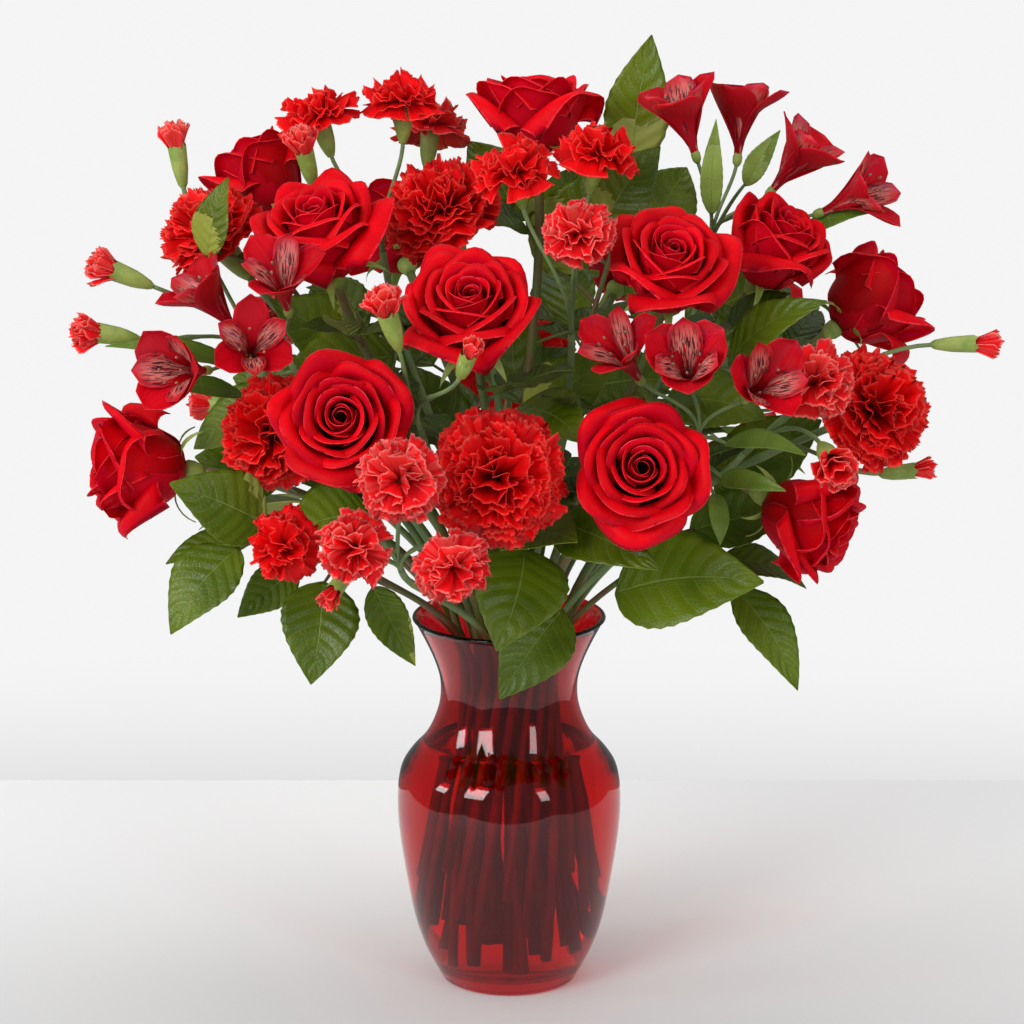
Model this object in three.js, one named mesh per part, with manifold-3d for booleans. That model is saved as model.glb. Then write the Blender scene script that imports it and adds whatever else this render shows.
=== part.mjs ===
// A bouquet of roses, carnations, spray carnations and alstroemeria with broad-leaved
// greenery, standing in a pinched glass vase that is two thirds full of water.
// Millimetres, +Z up. The origin is the centre of the vase's underside, and the side that
// the bouquet shows best faces -Y.
import * as THREE from 'three';
import { mergeVertices } from 'three/addons/utils/BufferGeometryUtils.js';
import Module from 'manifold-3d';

const wasm = await Module();
wasm.setup();

// ---------------------------------------------------------------- driving dimensions
const VASE_HEIGHT = 203.2;
const VASE_WALL = 3;
const VASE_FLOOR = 8;
const VASE_SIDES = 32;
// Outside of the glass from foot to rim, as [radius, height].
const VASE_OUTSIDE = [
  [36, 0], [40.5, 7.5], [46.5, 20], [51.5, 36], [56, 60], [59.4, 84], [60.2, 102],
  [58.4, 117], [53.4, 126], [45.8, 134.5], [40.8, 143.5], [37.2, 155], [36.8, 167],
  [39.6, 178], [44.8, 190], [51.7, VASE_HEIGHT],
];
const WATER_LEVEL = 133;
const GAP = 0.3; // left between pieces that touch
const SLEEVE_GAP = 0.4; // left between the water and a stem

const NECK_HEIGHT = 163; // the narrowest place, where all the stems pass
const NECK_RINGS = [0, 8.6, 16.4, 24.4]; // radii of the rings that the stems stand in
const NECK_COUNTS = [1, 6, 13, 19];
const STEM_TWIST = 0.0062; // sideways lean of a stem, per mm of height and mm of ring radius
const RING_HANDS = [1, 1, -1, 1]; // which way round the axis each ring leans
const STEM_SPREAD = 0.0022; // outward lean of a stem, per mm of height and mm of ring radius
// Heights of the cut ends in each ring, taken in turn.
const FOOT_HEIGHTS = [[11], [13, 27, 11, 34, 18, 23], [19, 36, 13, 47, 25], [28, 57, 36, 21, 68, 44]];
const STEM_SIDES = 6;
const STALK_SIDES = 4;
const BEND_LOW = 0.38; // how far a stem keeps its direction above the neck
const BEND_HIGH = 0.3; // how far a stem follows its flower's axis below the flower
const CURVE_STEPS = 4;
const STALK_STEPS = 2;
const STALK_REACH = 4; // how far a leaf stalk runs into its blade
const STALK_LIFT = 1;
const FINE_STEPS = 8; // places on each straight stretch of a stem for a leaf stalk

const ROSE_STEM = 2.4;
const CARNATION_STEM = 2;
const SPRAY_STEM = 1.9;
const STALK = 1.2;
const BRANCH_STEM = 2.1;
const LEAF_THICKNESS = 1.2;
const LEAF_END = 0.08; // share of a leaf's width that its base and tip keep
const LEAF_BELLY = 0.8; // below 1, a leaf is widest nearer its base
const LEAF_CUP = 0.35; // how far a leaf's edges rise, as a share of its width
const BLADE_STEPS = 3;
const HEAD_SIDES = 8;
const SMALL_HEAD_SIDES = 6;
const FUNNEL_SIDES = 5;
const SEAT = 6; // straight end of a stem below its flower
const STALK_SEAT = 2; // how far a small flower's stalk runs into it
const STALK_CLEAR = 12; // leaf stalks start at least this far above the rim

// ---------------------------------------------------------------- materials
const colours = {
  glass: [0x9c0f22, 0.05],
  water: [0xd8e6e8, 0.02],
  rose: [0xb80f2c, 0.6],
  carnation: [0xd8141c, 0.7],
  miniCarnation: [0xe23a3a, 0.7],
  alstroemeria: [0xa3142c, 0.6],
  stem: [0x4f6b2c, 0.6],
  leaf: [0x2f5a17, 0.35],
};

function material(name) {
  const [color, roughness] = colours[name];
  return new THREE.MeshStandardMaterial({ name, color, roughness, metalness: 0 });
}

const materials = Object.fromEntries(Object.keys(colours).map((name) => [name, material(name)]));

// ---------------------------------------------------------------- small helpers
const UP = new THREE.Vector3(0, 0, 1);

function vec([x, y, z]) {
  return new THREE.Vector3(x, y, z);
}

function toSolid(geometry) {
  const bare = geometry.clone();
  bare.deleteAttribute('normal');
  bare.deleteAttribute('uv');
  const merged = mergeVertices(bare, 1e-4);
  const corners = merged.index.array;
  const kept = [];
  for (let i = 0; i < corners.length; i += 3) {
    const [a, b, c] = [corners[i], corners[i + 1], corners[i + 2]];
    if (a !== b && b !== c && c !== a) kept.push(a, b, c);
  }
  const vertProperties = new Float32Array(merged.attributes.position.array);
  const triVerts = new Uint32Array(kept);
  return new wasm.Manifold(new wasm.Mesh({ numProp: 3, vertProperties, triVerts }));
}

function toGeometry(solid) {
  const mesh = solid.getMesh();
  const geometry = new THREE.BufferGeometry();
  geometry.setAttribute('position', new THREE.BufferAttribute(mesh.vertProperties, 3));
  geometry.setIndex(new THREE.BufferAttribute(mesh.triVerts, 1));
  return geometry;
}

function union(solids) {
  return solids.reduce((whole, solid) => whole.add(solid));
}

// A solid of revolution about +Z through [radius, height] points.
function turned(points, sides) {
  const profile = points.map(([r, h]) => new THREE.Vector2(r, h));
  return new THREE.LatheGeometry(profile, sides).rotateX(Math.PI / 2);
}

// A round bar through the points, with a ring of corners at each of them.
function bar(points, radius, sides) {
  const section = new THREE.Shape();
  for (let i = 0; i < sides; i += 1) {
    const turn = (2 * Math.PI * i) / sides;
    const corner = [radius * Math.cos(turn), radius * Math.sin(turn)];
    if (i === 0) section.moveTo(...corner);
    else section.lineTo(...corner);
  }
  section.closePath();
  const route = new THREE.CatmullRomCurve3(points);
  route.getUtoTmapping = (u) => u; // equal steps in the point number, not in length
  const steps = points.length - 1;
  return new THREE.ExtrudeGeometry(section, { steps, extrudePath: route, bevelEnabled: false });
}

function bezier(start, startWay, end, endWay, steps) {
  const reach = start.distanceTo(end);
  const curve = new THREE.CubicBezierCurve3(
    start,
    start.clone().addScaledVector(startWay, reach * BEND_LOW),
    end.clone().addScaledVector(endWay, -reach * BEND_HIGH),
    end,
  );
  return curve.getPoints(steps);
}

// A leaf blade from base to tip: widest below the middle, arched away from its face side.
function blade({ base, tip, width, face, arch = 0.1 }) {
  const from = vec(base);
  const along = vec(tip).sub(from);
  const length = along.length();
  along.normalize();
  const side = new THREE.Vector3().crossVectors(vec(face), along).normalize();
  const normal = new THREE.Vector3().crossVectors(along, side);
  const geometry = new THREE.BoxGeometry(1, 1, 1, BLADE_STEPS, 2, 1);
  const points = geometry.attributes.position;
  for (let i = 0; i < points.count; i += 1) {
    const run = points.getX(i) + 0.5;
    const across = points.getY(i);
    const spread = Math.max(LEAF_END, Math.sin(Math.PI * run ** LEAF_BELLY));
    const cup = LEAF_CUP * width * spread * across * across;
    const lift = 4 * arch * length * run * (1 - run) + cup;
    const place = from.clone().addScaledVector(along, run * length);
    place.addScaledVector(side, across * width * spread);
    place.addScaledVector(normal, lift + points.getZ(i) * LEAF_THICKNESS);
    points.setXYZ(i, place.x, place.y, place.z);
  }
  return geometry;
}

// ---------------------------------------------------------------- vase and water
function insideRadius(height) {
  const above = VASE_OUTSIDE.findIndex(([, z]) => z >= height);
  const [r1, z1] = VASE_OUTSIDE[above];
  const [r0, z0] = VASE_OUTSIDE[above - 1];
  return r0 + ((r1 - r0) * (height - z0)) / (z1 - z0) - VASE_WALL;
}

function vaseGeometry() {
  const inside = VASE_OUTSIDE.filter(([, z]) => z > VASE_FLOOR + 1).reverse();
  return turned([
    [0, 0],
    ...VASE_OUTSIDE,
    ...inside.map(([r, z]) => [r - VASE_WALL, z]),
    [insideRadius(VASE_FLOOR), VASE_FLOOR],
    [0, VASE_FLOOR],
  ], VASE_SIDES);
}

function waterGeometry(stems) {
  const low = VASE_FLOOR + GAP;
  const heights = VASE_OUTSIDE.map(([, z]) => z).filter((z) => z > low + 1 && z < WATER_LEVEL - 1);
  const body = turned([
    [0, low],
    ...[low, ...heights, WATER_LEVEL].map((z) => [insideRadius(z) - GAP, z]),
    [0, WATER_LEVEL],
  ], VASE_SIDES);
  const sleeves = stems.map(({ slot, radius }) => {
    const start = slot.at(slot.foot - GAP);
    return toSolid(bar([start, slot.at(NECK_HEIGHT)], radius + SLEEVE_GAP, STEM_SIDES));
  });
  return toGeometry(toSolid(body).subtract(union(sleeves)));
}

// ---------------------------------------------------------------- flowers
// Profiles as fractions of a flower's radius and of its height, from the stalk up.
const ROSE = [
  [0, 0], [0.1, 0], [0.17, 0.1], [0.34, 0.17], [0.82, 0.42], [1, 0.68], [0.9, 0.9], [0.5, 1],
  [0, 0.97],
];
const CARNATION = [
  [0, 0], [0.12, 0], [0.19, 0.12], [0.23, 0.45], [0.85, 0.56], [1, 0.73], [0.85, 0.92],
  [0.4, 1], [0, 1],
];
const MINI = [[0, 0], [0.16, 0], [0.26, 0.18], [0.3, 0.52], [0.85, 0.68], [1, 0.82], [0.6, 1], [0, 1]];
const BUD = [[0, 0], [0.3, 0], [0.6, 0.18], [0.65, 0.55], [1, 0.75], [0.7, 1], [0, 1]];
const FUNNEL = [[0, 0], [0.12, 0], [0.2, 0.25], [0.6, 0.66], [1, 0.93], [0.8, 1], [0, 0.8]];

// A flower head whose middle is at a point and which faces along a direction.
function head(profile, sides, { at, face, radius, height }) {
  const axis = vec(face).normalize();
  const base = vec(at).addScaledVector(axis, -height / 2);
  const geometry = turned(profile.map(([r, h]) => [r * radius, h * height]), sides);
  const turn = new THREE.Quaternion().setFromUnitVectors(UP, axis);
  return { geometry, base, axis, turn };
}

const roses = [
  { at: [14, 30, 465], face: [-0.05, 0.1, 1], radius: 37, height: 54 },
  { at: [-94, -58, 416], face: [-0.25, -0.35, 0.9], radius: 37, height: 58 },
  { at: [-128, 34, 432], face: [-0.5, 0.25, 0.8], radius: 31, height: 52 },
  { at: [-18, -98, 384], face: [-0.08, -0.6, 0.8], radius: 39, height: 58 },
  { at: [80, -80, 404], face: [0.1, -0.6, 0.8], radius: 35, height: 56 },
  { at: [136, -26, 404], face: [0.45, -0.3, 0.85], radius: 32, height: 56 },
  { at: [188, 14, 368], face: [0.78, 0.3, 0.5], radius: 34, height: 58 },
  { at: [-80, -128, 338], face: [-0.12, -0.9, 0.36], radius: 37, height: 54 },
  { at: [64, -128, 314], face: [0.08, -0.93, 0.3], radius: 37, height: 54 },
  { at: [-188, -50, 297], face: [-0.96, -0.2, 0.15], radius: 36, height: 64 },
  { at: [150, -70, 275], face: [0.82, -0.38, -0.35], radius: 34, height: 62 },
  { at: [-62, 108, 388], face: [-0.3, 0.75, 0.6], radius: 37, height: 56 },
  { at: [66, 112, 372], face: [0.35, 0.8, 0.5], radius: 37, height: 56 },
];

const carnations = [
  { at: [-34, -12, 420], face: [-0.35, -0.35, 0.9], radius: 29, height: 56 },
  { at: [-152, -8, 408], face: [-0.6, -0.1, 0.75], radius: 26, height: 54 },
  { at: [-118, -68, 318], face: [-0.6, -0.7, 0.4], radius: 28, height: 56 },
  { at: [-6, -136, 312], face: [-0.05, -0.95, 0.2], radius: 33, height: 60 },
  { at: [184, -52, 326], face: [0.65, -0.6, 0.45], radius: 30, height: 58 },
  { at: [2, 146, 312], face: [0.05, 0.95, 0.35], radius: 34, height: 60 },
];

// Spray carnations: a stem, the fork where it divides, and its small flowers and buds.
const open = { profile: MINI, radius: 19, height: 34 };
const half = { profile: BUD, radius: 11, height: 36 };
const bud = { profile: BUD, radius: 6.5, height: 26 };
const sprays = [
  {
    fork: [-128, 16, 330],
    way: [-0.35, 0.1, 0.9],
    flowers: [
      { ...half, at: [-174, 30, 446], face: [-0.15, 0.1, 1], radius: 9 },
      { ...half, at: [-200, -26, 393], face: [-0.9, -0.1, 0.4] },
      { ...half, at: [-206, -50, 366], face: [-0.9, -0.3, 0.2] },
    ],
  },
  {
    fork: [-66, 8, 398],
    way: [-0.15, 0, 1],
    flowers: [
      { ...open, at: [-97, 4, 465], face: [-0.3, 0, 1] },
      { ...open, at: [-55, 10, 472], face: [0, 0, 1] },
      { ...half, at: [-104, -20, 452], face: [-0.2, -0.3, 0.9], radius: 9 },
      { ...open, at: [-42, 52, 452], face: [0.1, 0.3, 1] },
    ],
  },
  {
    fork: [32, -50, 366],
    way: [0, -0.1, 1],
    flowers: [
      { ...open, at: [4, -48, 446], face: [-0.2, -0.3, 1] },
      { ...open, at: [44, -36, 452], face: [0.2, -0.2, 1] },
      { ...open, at: [34, -92, 424], face: [0.05, -0.7, 0.8], radius: 16 },
    ],
  },
  {
    fork: [-44, -104, 328],
    way: [-0.3, -0.2, 0.9],
    flowers: [
      { ...half, at: [-58, -142, 392], face: [-0.25, -0.3, 0.9] },
      { ...bud, at: [-20, -158, 376], face: [0.3, -0.5, 0.9] },
    ],
  },
  {
    fork: [-54, -112, 258],
    way: [-0.1, -0.75, 0.5],
    flowers: [
      { ...open, at: [-52, -184, 322], face: [0, -0.85, 0.5] },
      { ...open, at: [-108, -148, 281], face: [-0.6, -0.8, 0.1], radius: 17 },
      { ...open, at: [-74, -178, 288], face: [-0.3, -0.95, 0], radius: 16 },
      { ...open, at: [-28, -176, 278], face: [0.35, -0.9, -0.2], radius: 17 },
      { ...bud, at: [-84, -158, 262], face: [-0.5, -0.7, -0.5] },
    ],
  },
  {
    fork: [122, -36, 300],
    way: [0.6, -0.2, 0.7],
    flowers: [
      { ...bud, at: [240, 2, 350], face: [1, 0.1, 0], height: 38, radius: 8 },
      { ...bud, at: [208, -26, 288], face: [1, 0, 0.1], height: 30 },
      { ...open, at: [152, -104, 352], face: [0.1, -0.8, 0.6], radius: 17 },
      { ...half, at: [160, -116, 316], face: [0.2, -0.9, -0.2], radius: 14 },
    ],
  },
  {
    fork: [-88, 76, 288],
    way: [-0.5, 0.5, 0.7],
    flowers: [
      { ...open, at: [-132, 104, 336], face: [-0.5, 0.6, 0.6] },
      { ...open, at: [-94, 136, 300], face: [-0.3, 0.9, 0.2] },
      { ...half, at: [-158, 78, 300], face: [-0.9, 0.4, 0.1] },
    ],
  },
];

// Alstroemeria: a stem, its fork, its funnels, and the narrow leaves below them.
const funnel = { profile: FUNNEL, radius: 21, height: 42 };
const narrow = { width: 12, arch: 0.12 };
const alstroemerias = [
  {
    fork: [-112, -52, 352],
    way: [-0.45, -0.2, 0.85],
    flowers: [
      { ...funnel, at: [-150, -54, 382], face: [-0.6, -0.15, 0.75], radius: 17 },
      { ...funnel, at: [-112, -98, 400], face: [-0.1, -0.6, 0.8], radius: 17 },
      { ...funnel, at: [-128, -98, 368], face: [0.1, -0.9, 0.4], radius: 15 },
      { ...funnel, at: [-162, -90, 356], face: [-0.5, -0.85, 0.2] },
    ],
    leaves: [
      { ...narrow, base: [-136, -42, 346], tip: [-204, -70, 364], face: [0, -0.7, 0.7] },
      { ...narrow, base: [-136, -36, 330], tip: [-184, -62, 340], face: [0.2, -0.6, 0.7] },
    ],
  },
  {
    fork: [106, 12, 404],
    way: [0.1, 0, 1],
    flowers: [
      { ...funnel, at: [92, 10, 466], face: [-0.3, -0.1, 1] },
      { ...funnel, at: [122, 34, 462], face: [0.1, 0.2, 1] },
      { ...funnel, at: [148, 10, 444], face: [0.6, -0.1, 0.8] },
      { ...funnel, at: [178, 8, 426], face: [0.8, -0.35, 0.45], radius: 16 },
    ],
    leaves: [
      { ...narrow, base: [105, -6, 420], tip: [106, -20, 472], face: [0, -1, 0.1] },
      { ...narrow, base: [122, -10, 436], tip: [139, -18, 466], face: [0, -1, 0.2] },
      { ...narrow, base: [146, 22, 396], tip: [196, 6, 420], face: [0, -0.6, 0.8] },
    ],
  },
  {
    fork: [96, -76, 318],
    way: [0.1, -0.3, 0.95],
    flowers: [
      { ...funnel, at: [88, -126, 364], face: [-0.1, -0.8, 0.6] },
      { ...funnel, at: [124, -114, 352], face: [0.3, -0.85, 0.5], radius: 18 },
      { ...funnel, at: [58, -112, 366], face: [-0.4, -0.6, 0.7], radius: 15 },
    ],
    leaves: [
      { ...narrow, base: [108, -92, 318], tip: [148, -116, 318], face: [0, -0.7, 0.7] },
      { ...narrow, base: [106, -90, 300], tip: [138, -116, 300], face: [0, -0.8, 0.6] },
      { ...narrow, base: [104, -88, 292], tip: [106, -108, 270], face: [0.3, -0.9, 0.2] },
    ],
  },
  {
    fork: [92, 84, 288],
    way: [0.5, 0.5, 0.7],
    flowers: [
      { ...funnel, at: [136, 108, 344], face: [0.4, 0.6, 0.7] },
      { ...funnel, at: [166, 78, 306], face: [0.9, 0.4, 0.3] },
      { ...funnel, at: [104, 140, 306], face: [0.2, 0.95, 0.25] },
      { ...funnel, at: [132, 122, 268], face: [0.6, 0.75, -0.2] },
    ],
    leaves: [
      { ...narrow, base: [112, 66, 290], tip: [160, 44, 270], face: [0.3, -0.5, 0.8] },
      { ...narrow, base: [84, 100, 284], tip: [64, 146, 262], face: [0, 0.7, 0.7] },
    ],
  },
];

// Greenery: a branch that ends at a point, and its broad leaves.
const branches = [
  {
    end: [2, -72, 262],
    leaves: [
      { base: [8, -84, 262], tip: [-6, -122, 219], width: 50, face: [0, -0.9, 0.45], arch: 0.12 },
      { base: [28, -72, 226], tip: [-5, -100, 187], width: 38, face: [0.25, -0.8, 0.5] },
      { base: [24, -92, 278], tip: [74, -140, 266], width: 34, face: [-0.3, -0.7, 0.7] },
      { base: [6, -86, 266], tip: [34, -132, 278], width: 42, face: [0.1, -0.8, 0.8] },
    ],
  },
  {
    end: [-82, -78, 256],
    leaves: [
      { base: [-94, -104, 250], tip: [-99, -130, 204], width: 40, face: [0, -0.95, 0.35] },
      { base: [-108, -80, 250], tip: [-138, -92, 228], width: 24, face: [-0.3, -0.9, 0.3] },
      { base: [-70, -70, 238], tip: [-48, -84, 200], width: 22, face: [-0.2, -0.9, 0.4] },
      { base: [-70, -72, 276], tip: [-114, -90, 270], width: 42, face: [-0.1, -0.8, 0.6] },
    ],
  },
  {
    end: [-118, -86, 270],
    leaves: [
      { base: [-122, -106, 280], tip: [-168, -124, 306], width: 38, face: [-0.2, -0.8, 0.5] },
      { base: [-136, -98, 266], tip: [-170, -116, 226], width: 36, face: [-0.45, -0.85, 0.25] },
      { base: [-132, -70, 262], tip: [-176, -70, 250], width: 22, face: [-0.2, -0.5, 0.8] },
    ],
  },
  {
    end: [80, -56, 256],
    leaves: [
      { base: [54, -84, 238], tip: [128, -112, 252], width: 52, face: [0.15, -0.85, 0.5], arch: 0.08 },
      { base: [116, -66, 236], tip: [148, -88, 188], width: 28, face: [0.4, -0.85, 0.3] },
      { base: [110, -40, 244], tip: [156, -30, 226], width: 24, face: [0.3, -0.4, 0.85] },
      { base: [94, -34, 258], tip: [150, -24, 272], width: 32, face: [0.5, -0.8, 0.7] },
    ],
  },
  {
    end: [64, 16, 436],
    leaves: [
      { base: [64, 38, 438], tip: [75, 44, 507], width: 35, face: [0.1, -1, 0.15], arch: 0.06 },
      { base: [56, 10, 414], tip: [47, 6, 460], width: 32, face: [0.3, -0.95, 0.2] },
      { base: [84, 20, 400], tip: [84, 66, 424], width: 30, face: [0.2, -0.3, 0.9] },
      { base: [10, -16, 308], tip: [60, -24, 352], width: 36, face: [0.1, -0.8, 0.5] },
      { base: [20, 44, 380], tip: [50, 38, 440], width: 42, face: [0.1, -0.8, 0.7] },
      { base: [72, 8, 406], tip: [94, 36, 438], width: 36, face: [0.3, -0.8, 0.4] },
      { base: [6, 64, 406], tip: [-22, 76, 446], width: 38, face: [0, -0.7, 0.5] },
      { base: [14, 50, 398], tip: [42, 60, 438], width: 32, face: [0.2, -0.7, 0.6] },
      { base: [34, 38, 352], tip: [22, 86, 384], width: 32, face: [0, -0.5, 0.7] },
      { base: [38, 24, 320], tip: [90, 30, 324], width: 40, face: [0.3, -0.6, 0.5] },
      { base: [4, -52, 328], tip: [38, -90, 318], width: 38, face: [0.2, -0.8, 0.8] },
      { base: [48, -10, 412], tip: [78, -8, 456], width: 34, face: [0.3, -0.8, 0.8] },
      { base: [14, 30, 266], tip: [38, 78, 268], width: 38, face: [0.2, -0.1, 0.4] },
      { base: [68, 48, 352], tip: [104, 80, 386], width: 38, face: [0.2, -0.3, 0.5] },
    ],
  },
  {
    end: [-112, 24, 372],
    leaves: [
      { base: [-154, -40, 404], tip: [-142, -44, 446], width: 21, face: [-0.3, -0.85, 0.45] },
      { base: [-118, 46, 374], tip: [-176, 66, 382], width: 30, face: [-0.2, 0.2, 0.95] },
      { base: [-80, 2, 350], tip: [-124, -10, 376], width: 38, face: [-0.2, -0.8, 0.5] },
      { base: [-20, 20, 292], tip: [-58, 48, 330], width: 30, face: [-0.4, -0.2, 0.7] },
      { base: [-120, -2, 324], tip: [-168, 18, 290], width: 32, face: [-0.5, -0.8, 0.6] },
      { base: [-60, -2, 344], tip: [-118, -28, 340], width: 42, face: [-0.4, -0.8, 0.4] },
      { base: [-80, 40, 344], tip: [-104, 70, 374], width: 38, face: [-0.3, -0.3, 0.5] },
      { base: [-104, 24, 312], tip: [-148, 40, 324], width: 38, face: [-0.5, -0.8, 0.6] },
      { base: [-28, 30, 288], tip: [-46, 88, 310], width: 38, face: [0, -0.7, 0.7] },
      { base: [-72, 52, 294], tip: [-108, 60, 260], width: 34, face: [-0.5, 0.1, 0.7] },
      { base: [-20, 20, 352], tip: [-42, 40, 392], width: 40, face: [0.1, 0, 0.5] },
    ],
  },
  {
    end: [134, 16, 330],
    leaves: [
      { base: [112, -50, 350], tip: [160, -74, 388], width: 26, face: [-0.2, -0.7, 0.7] },
      { base: [148, 20, 318], tip: [206, 36, 300], width: 36, face: [0.2, -0.2, 0.95] },
      { base: [140, 44, 330], tip: [170, 92, 352], width: 32, face: [0.2, 0.3, 0.9] },
      { base: [110, 2, 274], tip: [166, 16, 306], width: 40, face: [0.4, -0.8, 0.5] },
      { base: [82, -14, 324], tip: [134, -22, 316], width: 36, face: [0.2, -0.8, 0.6] },
      { base: [110, 30, 264], tip: [158, 20, 286], width: 32, face: [0.3, -0.8, 0.6] },
      { base: [68, 60, 310], tip: [72, 126, 312], width: 38, face: [0.1, -0.6, 0.8] },
      { base: [94, 20, 354], tip: [142, 38, 378], width: 38, face: [0.2, -0.8, 0.4] },
      { base: [56, 20, 270], tip: [108, 64, 270], width: 32, face: [0.3, -0.2, 0.6] },
      { base: [90, 42, 314], tip: [124, 90, 338], width: 42, face: [0.1, -0.5, 0.6] },
    ],
  },
  {
    end: [10, 92, 270],
    leaves: [
      { base: [22, 100, 262], tip: [44, 140, 216], width: 40, face: [0.2, 0.9, 0.4] },
      { base: [-12, 100, 258], tip: [-34, 142, 212], width: 42, face: [-0.2, 0.9, 0.4] },
      { base: [6, 84, 300], tip: [4, 134, 360], width: 36, face: [0, 0.8, 0.5] },
      { base: [-42, 88, 320], tip: [-68, 124, 338], width: 34, face: [0, -0.6, 0.6] },
      { base: [-30, 84, 286], tip: [-70, 114, 274], width: 44, face: [-0.2, -0.3, 0.5] },
    ],
  },
  {
    end: [-96, 62, 252],
    leaves: [
      { base: [-104, 70, 250], tip: [-142, 108, 222], width: 38, face: [-0.5, 0.6, 0.6] },
      { base: [-108, 48, 252], tip: [-168, 38, 240], width: 34, face: [-0.3, 0.1, 0.95] },
      { base: [-78, 76, 240], tip: [-84, 122, 206], width: 34, face: [-0.2, 0.8, 0.5] },
      { base: [-118, 28, 276], tip: [-168, 24, 284], width: 38, face: [-0.3, -0.8, 0.4] },
    ],
  },
];

// ---------------------------------------------------------------- where each stem stands
// A slot's line is straight from its cut end to the neck, and leans outward and sideways.
class Slot {
  constructor(ring, turn, foot) {
    this.radius = NECK_RINGS[ring];
    this.hand = RING_HANDS[ring];
    this.turn = turn;
    this.foot = foot;
  }

  at(height) {
    const below = NECK_HEIGHT - height;
    const out = this.radius * (1 + STEM_SPREAD * below);
    const aside = this.radius * STEM_TWIST * below * this.hand;
    const [c, s] = [Math.cos(this.turn), Math.sin(this.turn)];
    return new THREE.Vector3(out * c + aside * s, out * s - aside * c, height);
  }
}

function azimuth({ end }) {
  return Math.atan2(end.y, end.x);
}

function lean({ end }) {
  return Math.atan2(Math.hypot(end.x, end.y), end.z - NECK_HEIGHT);
}

// The most upright stems stand innermost, and each ring is filled in the order round the vase.
function giveSlots(stems) {
  const byLean = [...stems].sort((a, b) => lean(a) - lean(b));
  let used = 0;
  NECK_COUNTS.forEach((count, ring) => {
    const members = byLean.slice(used, used + count).sort((a, b) => azimuth(a) - azimuth(b));
    const step = (2 * Math.PI) / members.length;
    const total = members.reduce((sum, stem, i) => sum + azimuth(stem) - i * step, 0);
    const drift = total / members.length;
    const feet = FOOT_HEIGHTS[ring];
    members.forEach((stem, i) => {
      stem.slot = new Slot(ring, drift + i * step, feet[i % feet.length]);
    });
    used += count;
  });
}

function stemRoute({ slot, end, way }) {
  const neck = slot.at(NECK_HEIGHT);
  const foot = slot.at(slot.foot);
  const upward = neck.clone().sub(foot).normalize();
  const seat = end.clone().addScaledVector(way, -SEAT);
  return [foot, ...bezier(neck, upward, seat, way, CURVE_STEPS), end];
}

// ---------------------------------------------------------------- assembly
const group = new THREE.Group();
const stems = [];

function addMesh(name, geometry, colour) {
  const mesh = new THREE.Mesh(geometry, materials[colour]);
  mesh.name = name;
  group.add(mesh);
  return mesh;
}

function addHead(name, profile, sides, flower, colour) {
  const { geometry, base, axis, turn } = head(profile, sides, flower);
  const mesh = addMesh(name, geometry, colour);
  mesh.position.copy(base);
  mesh.quaternion.copy(turn);
  return { end: base.clone().addScaledVector(axis, -GAP), way: axis };
}

// A small flower on its own stalk from the fork, placed in the bouquet's frame.
function flowerOnStalk(flower, fork, way, sides) {
  const { geometry, base, axis, turn } = head(flower.profile, sides, flower);
  const place = new THREE.Matrix4().compose(base, turn, new THREE.Vector3(1, 1, 1));
  const seat = base.clone().addScaledVector(axis, STALK_SEAT);
  const stalk = bar(bezier(fork, way, seat, axis, STALK_STEPS), STALK, STALK_SIDES);
  return [toSolid(geometry.applyMatrix4(place)), toSolid(stalk)];
}

// A leaf with a stalk that starts at the nearest place on the route above the vase.
function leafOnStalk(leaf, route) {
  const base = vec(leaf.base);
  const along = vec(leaf.tip).sub(base).normalize();
  const lift = vec(leaf.face).projectOnPlane(along).setLength(STALK_LIFT);
  const inside = base.clone().addScaledVector(along, STALK_REACH).add(lift);
  const above = route.filter((point) => point.z > VASE_HEIGHT + STALK_CLEAR);
  const start = above.reduce((best, p) => (p.distanceTo(base) < best.distanceTo(base) ? p : best));
  return [toSolid(blade(leaf)), toSolid(bar([start, inside], STALK, STALK_SIDES))];
}

// Close points along the straight stretches of a stem.
function fineRoute(stem) {
  const corners = stemRoute(stem);
  const route = [corners[0]];
  for (let i = 1; i < corners.length; i += 1) {
    for (let step = 1; step <= FINE_STEPS; step += 1) {
      route.push(corners[i - 1].clone().lerp(corners[i], step / FINE_STEPS));
    }
  }
  return route;
}

roses.forEach((rose, i) => {
  const seat = addHead(`rose_bloom_${i + 1}`, ROSE, HEAD_SIDES, rose, 'rose');
  stems.push({ ...seat, name: `rose_stem_${i + 1}`, radius: ROSE_STEM });
});
carnations.forEach((carnation, i) => {
  const name = `carnation_bloom_${i + 1}`;
  const seat = addHead(name, CARNATION, HEAD_SIDES, carnation, 'carnation');
  stems.push({ ...seat, name: `carnation_stem_${i + 1}`, radius: CARNATION_STEM });
});
sprays.forEach((spray, i) => {
  const name = `spray_carnation_${i + 1}`;
  const [end, way] = [vec(spray.fork), vec(spray.way).normalize()];
  stems.push({ ...spray, name, end, way, radius: SPRAY_STEM, colour: 'miniCarnation' });
});
alstroemerias.forEach((plant, i) => {
  const name = `alstroemeria_${i + 1}`;
  const [end, way] = [vec(plant.fork), vec(plant.way).normalize()];
  stems.push({ ...plant, name, end, way, radius: SPRAY_STEM, colour: 'alstroemeria' });
});
branches.forEach((branch, i) => {
  const name = `leaf_branch_${i + 1}`;
  const end = vec(branch.end);
  const way = new THREE.Vector3(end.x, end.y, end.z - NECK_HEIGHT).normalize();
  stems.push({ ...branch, name, end, way, radius: BRANCH_STEM, colour: 'leaf' });
});

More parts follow.
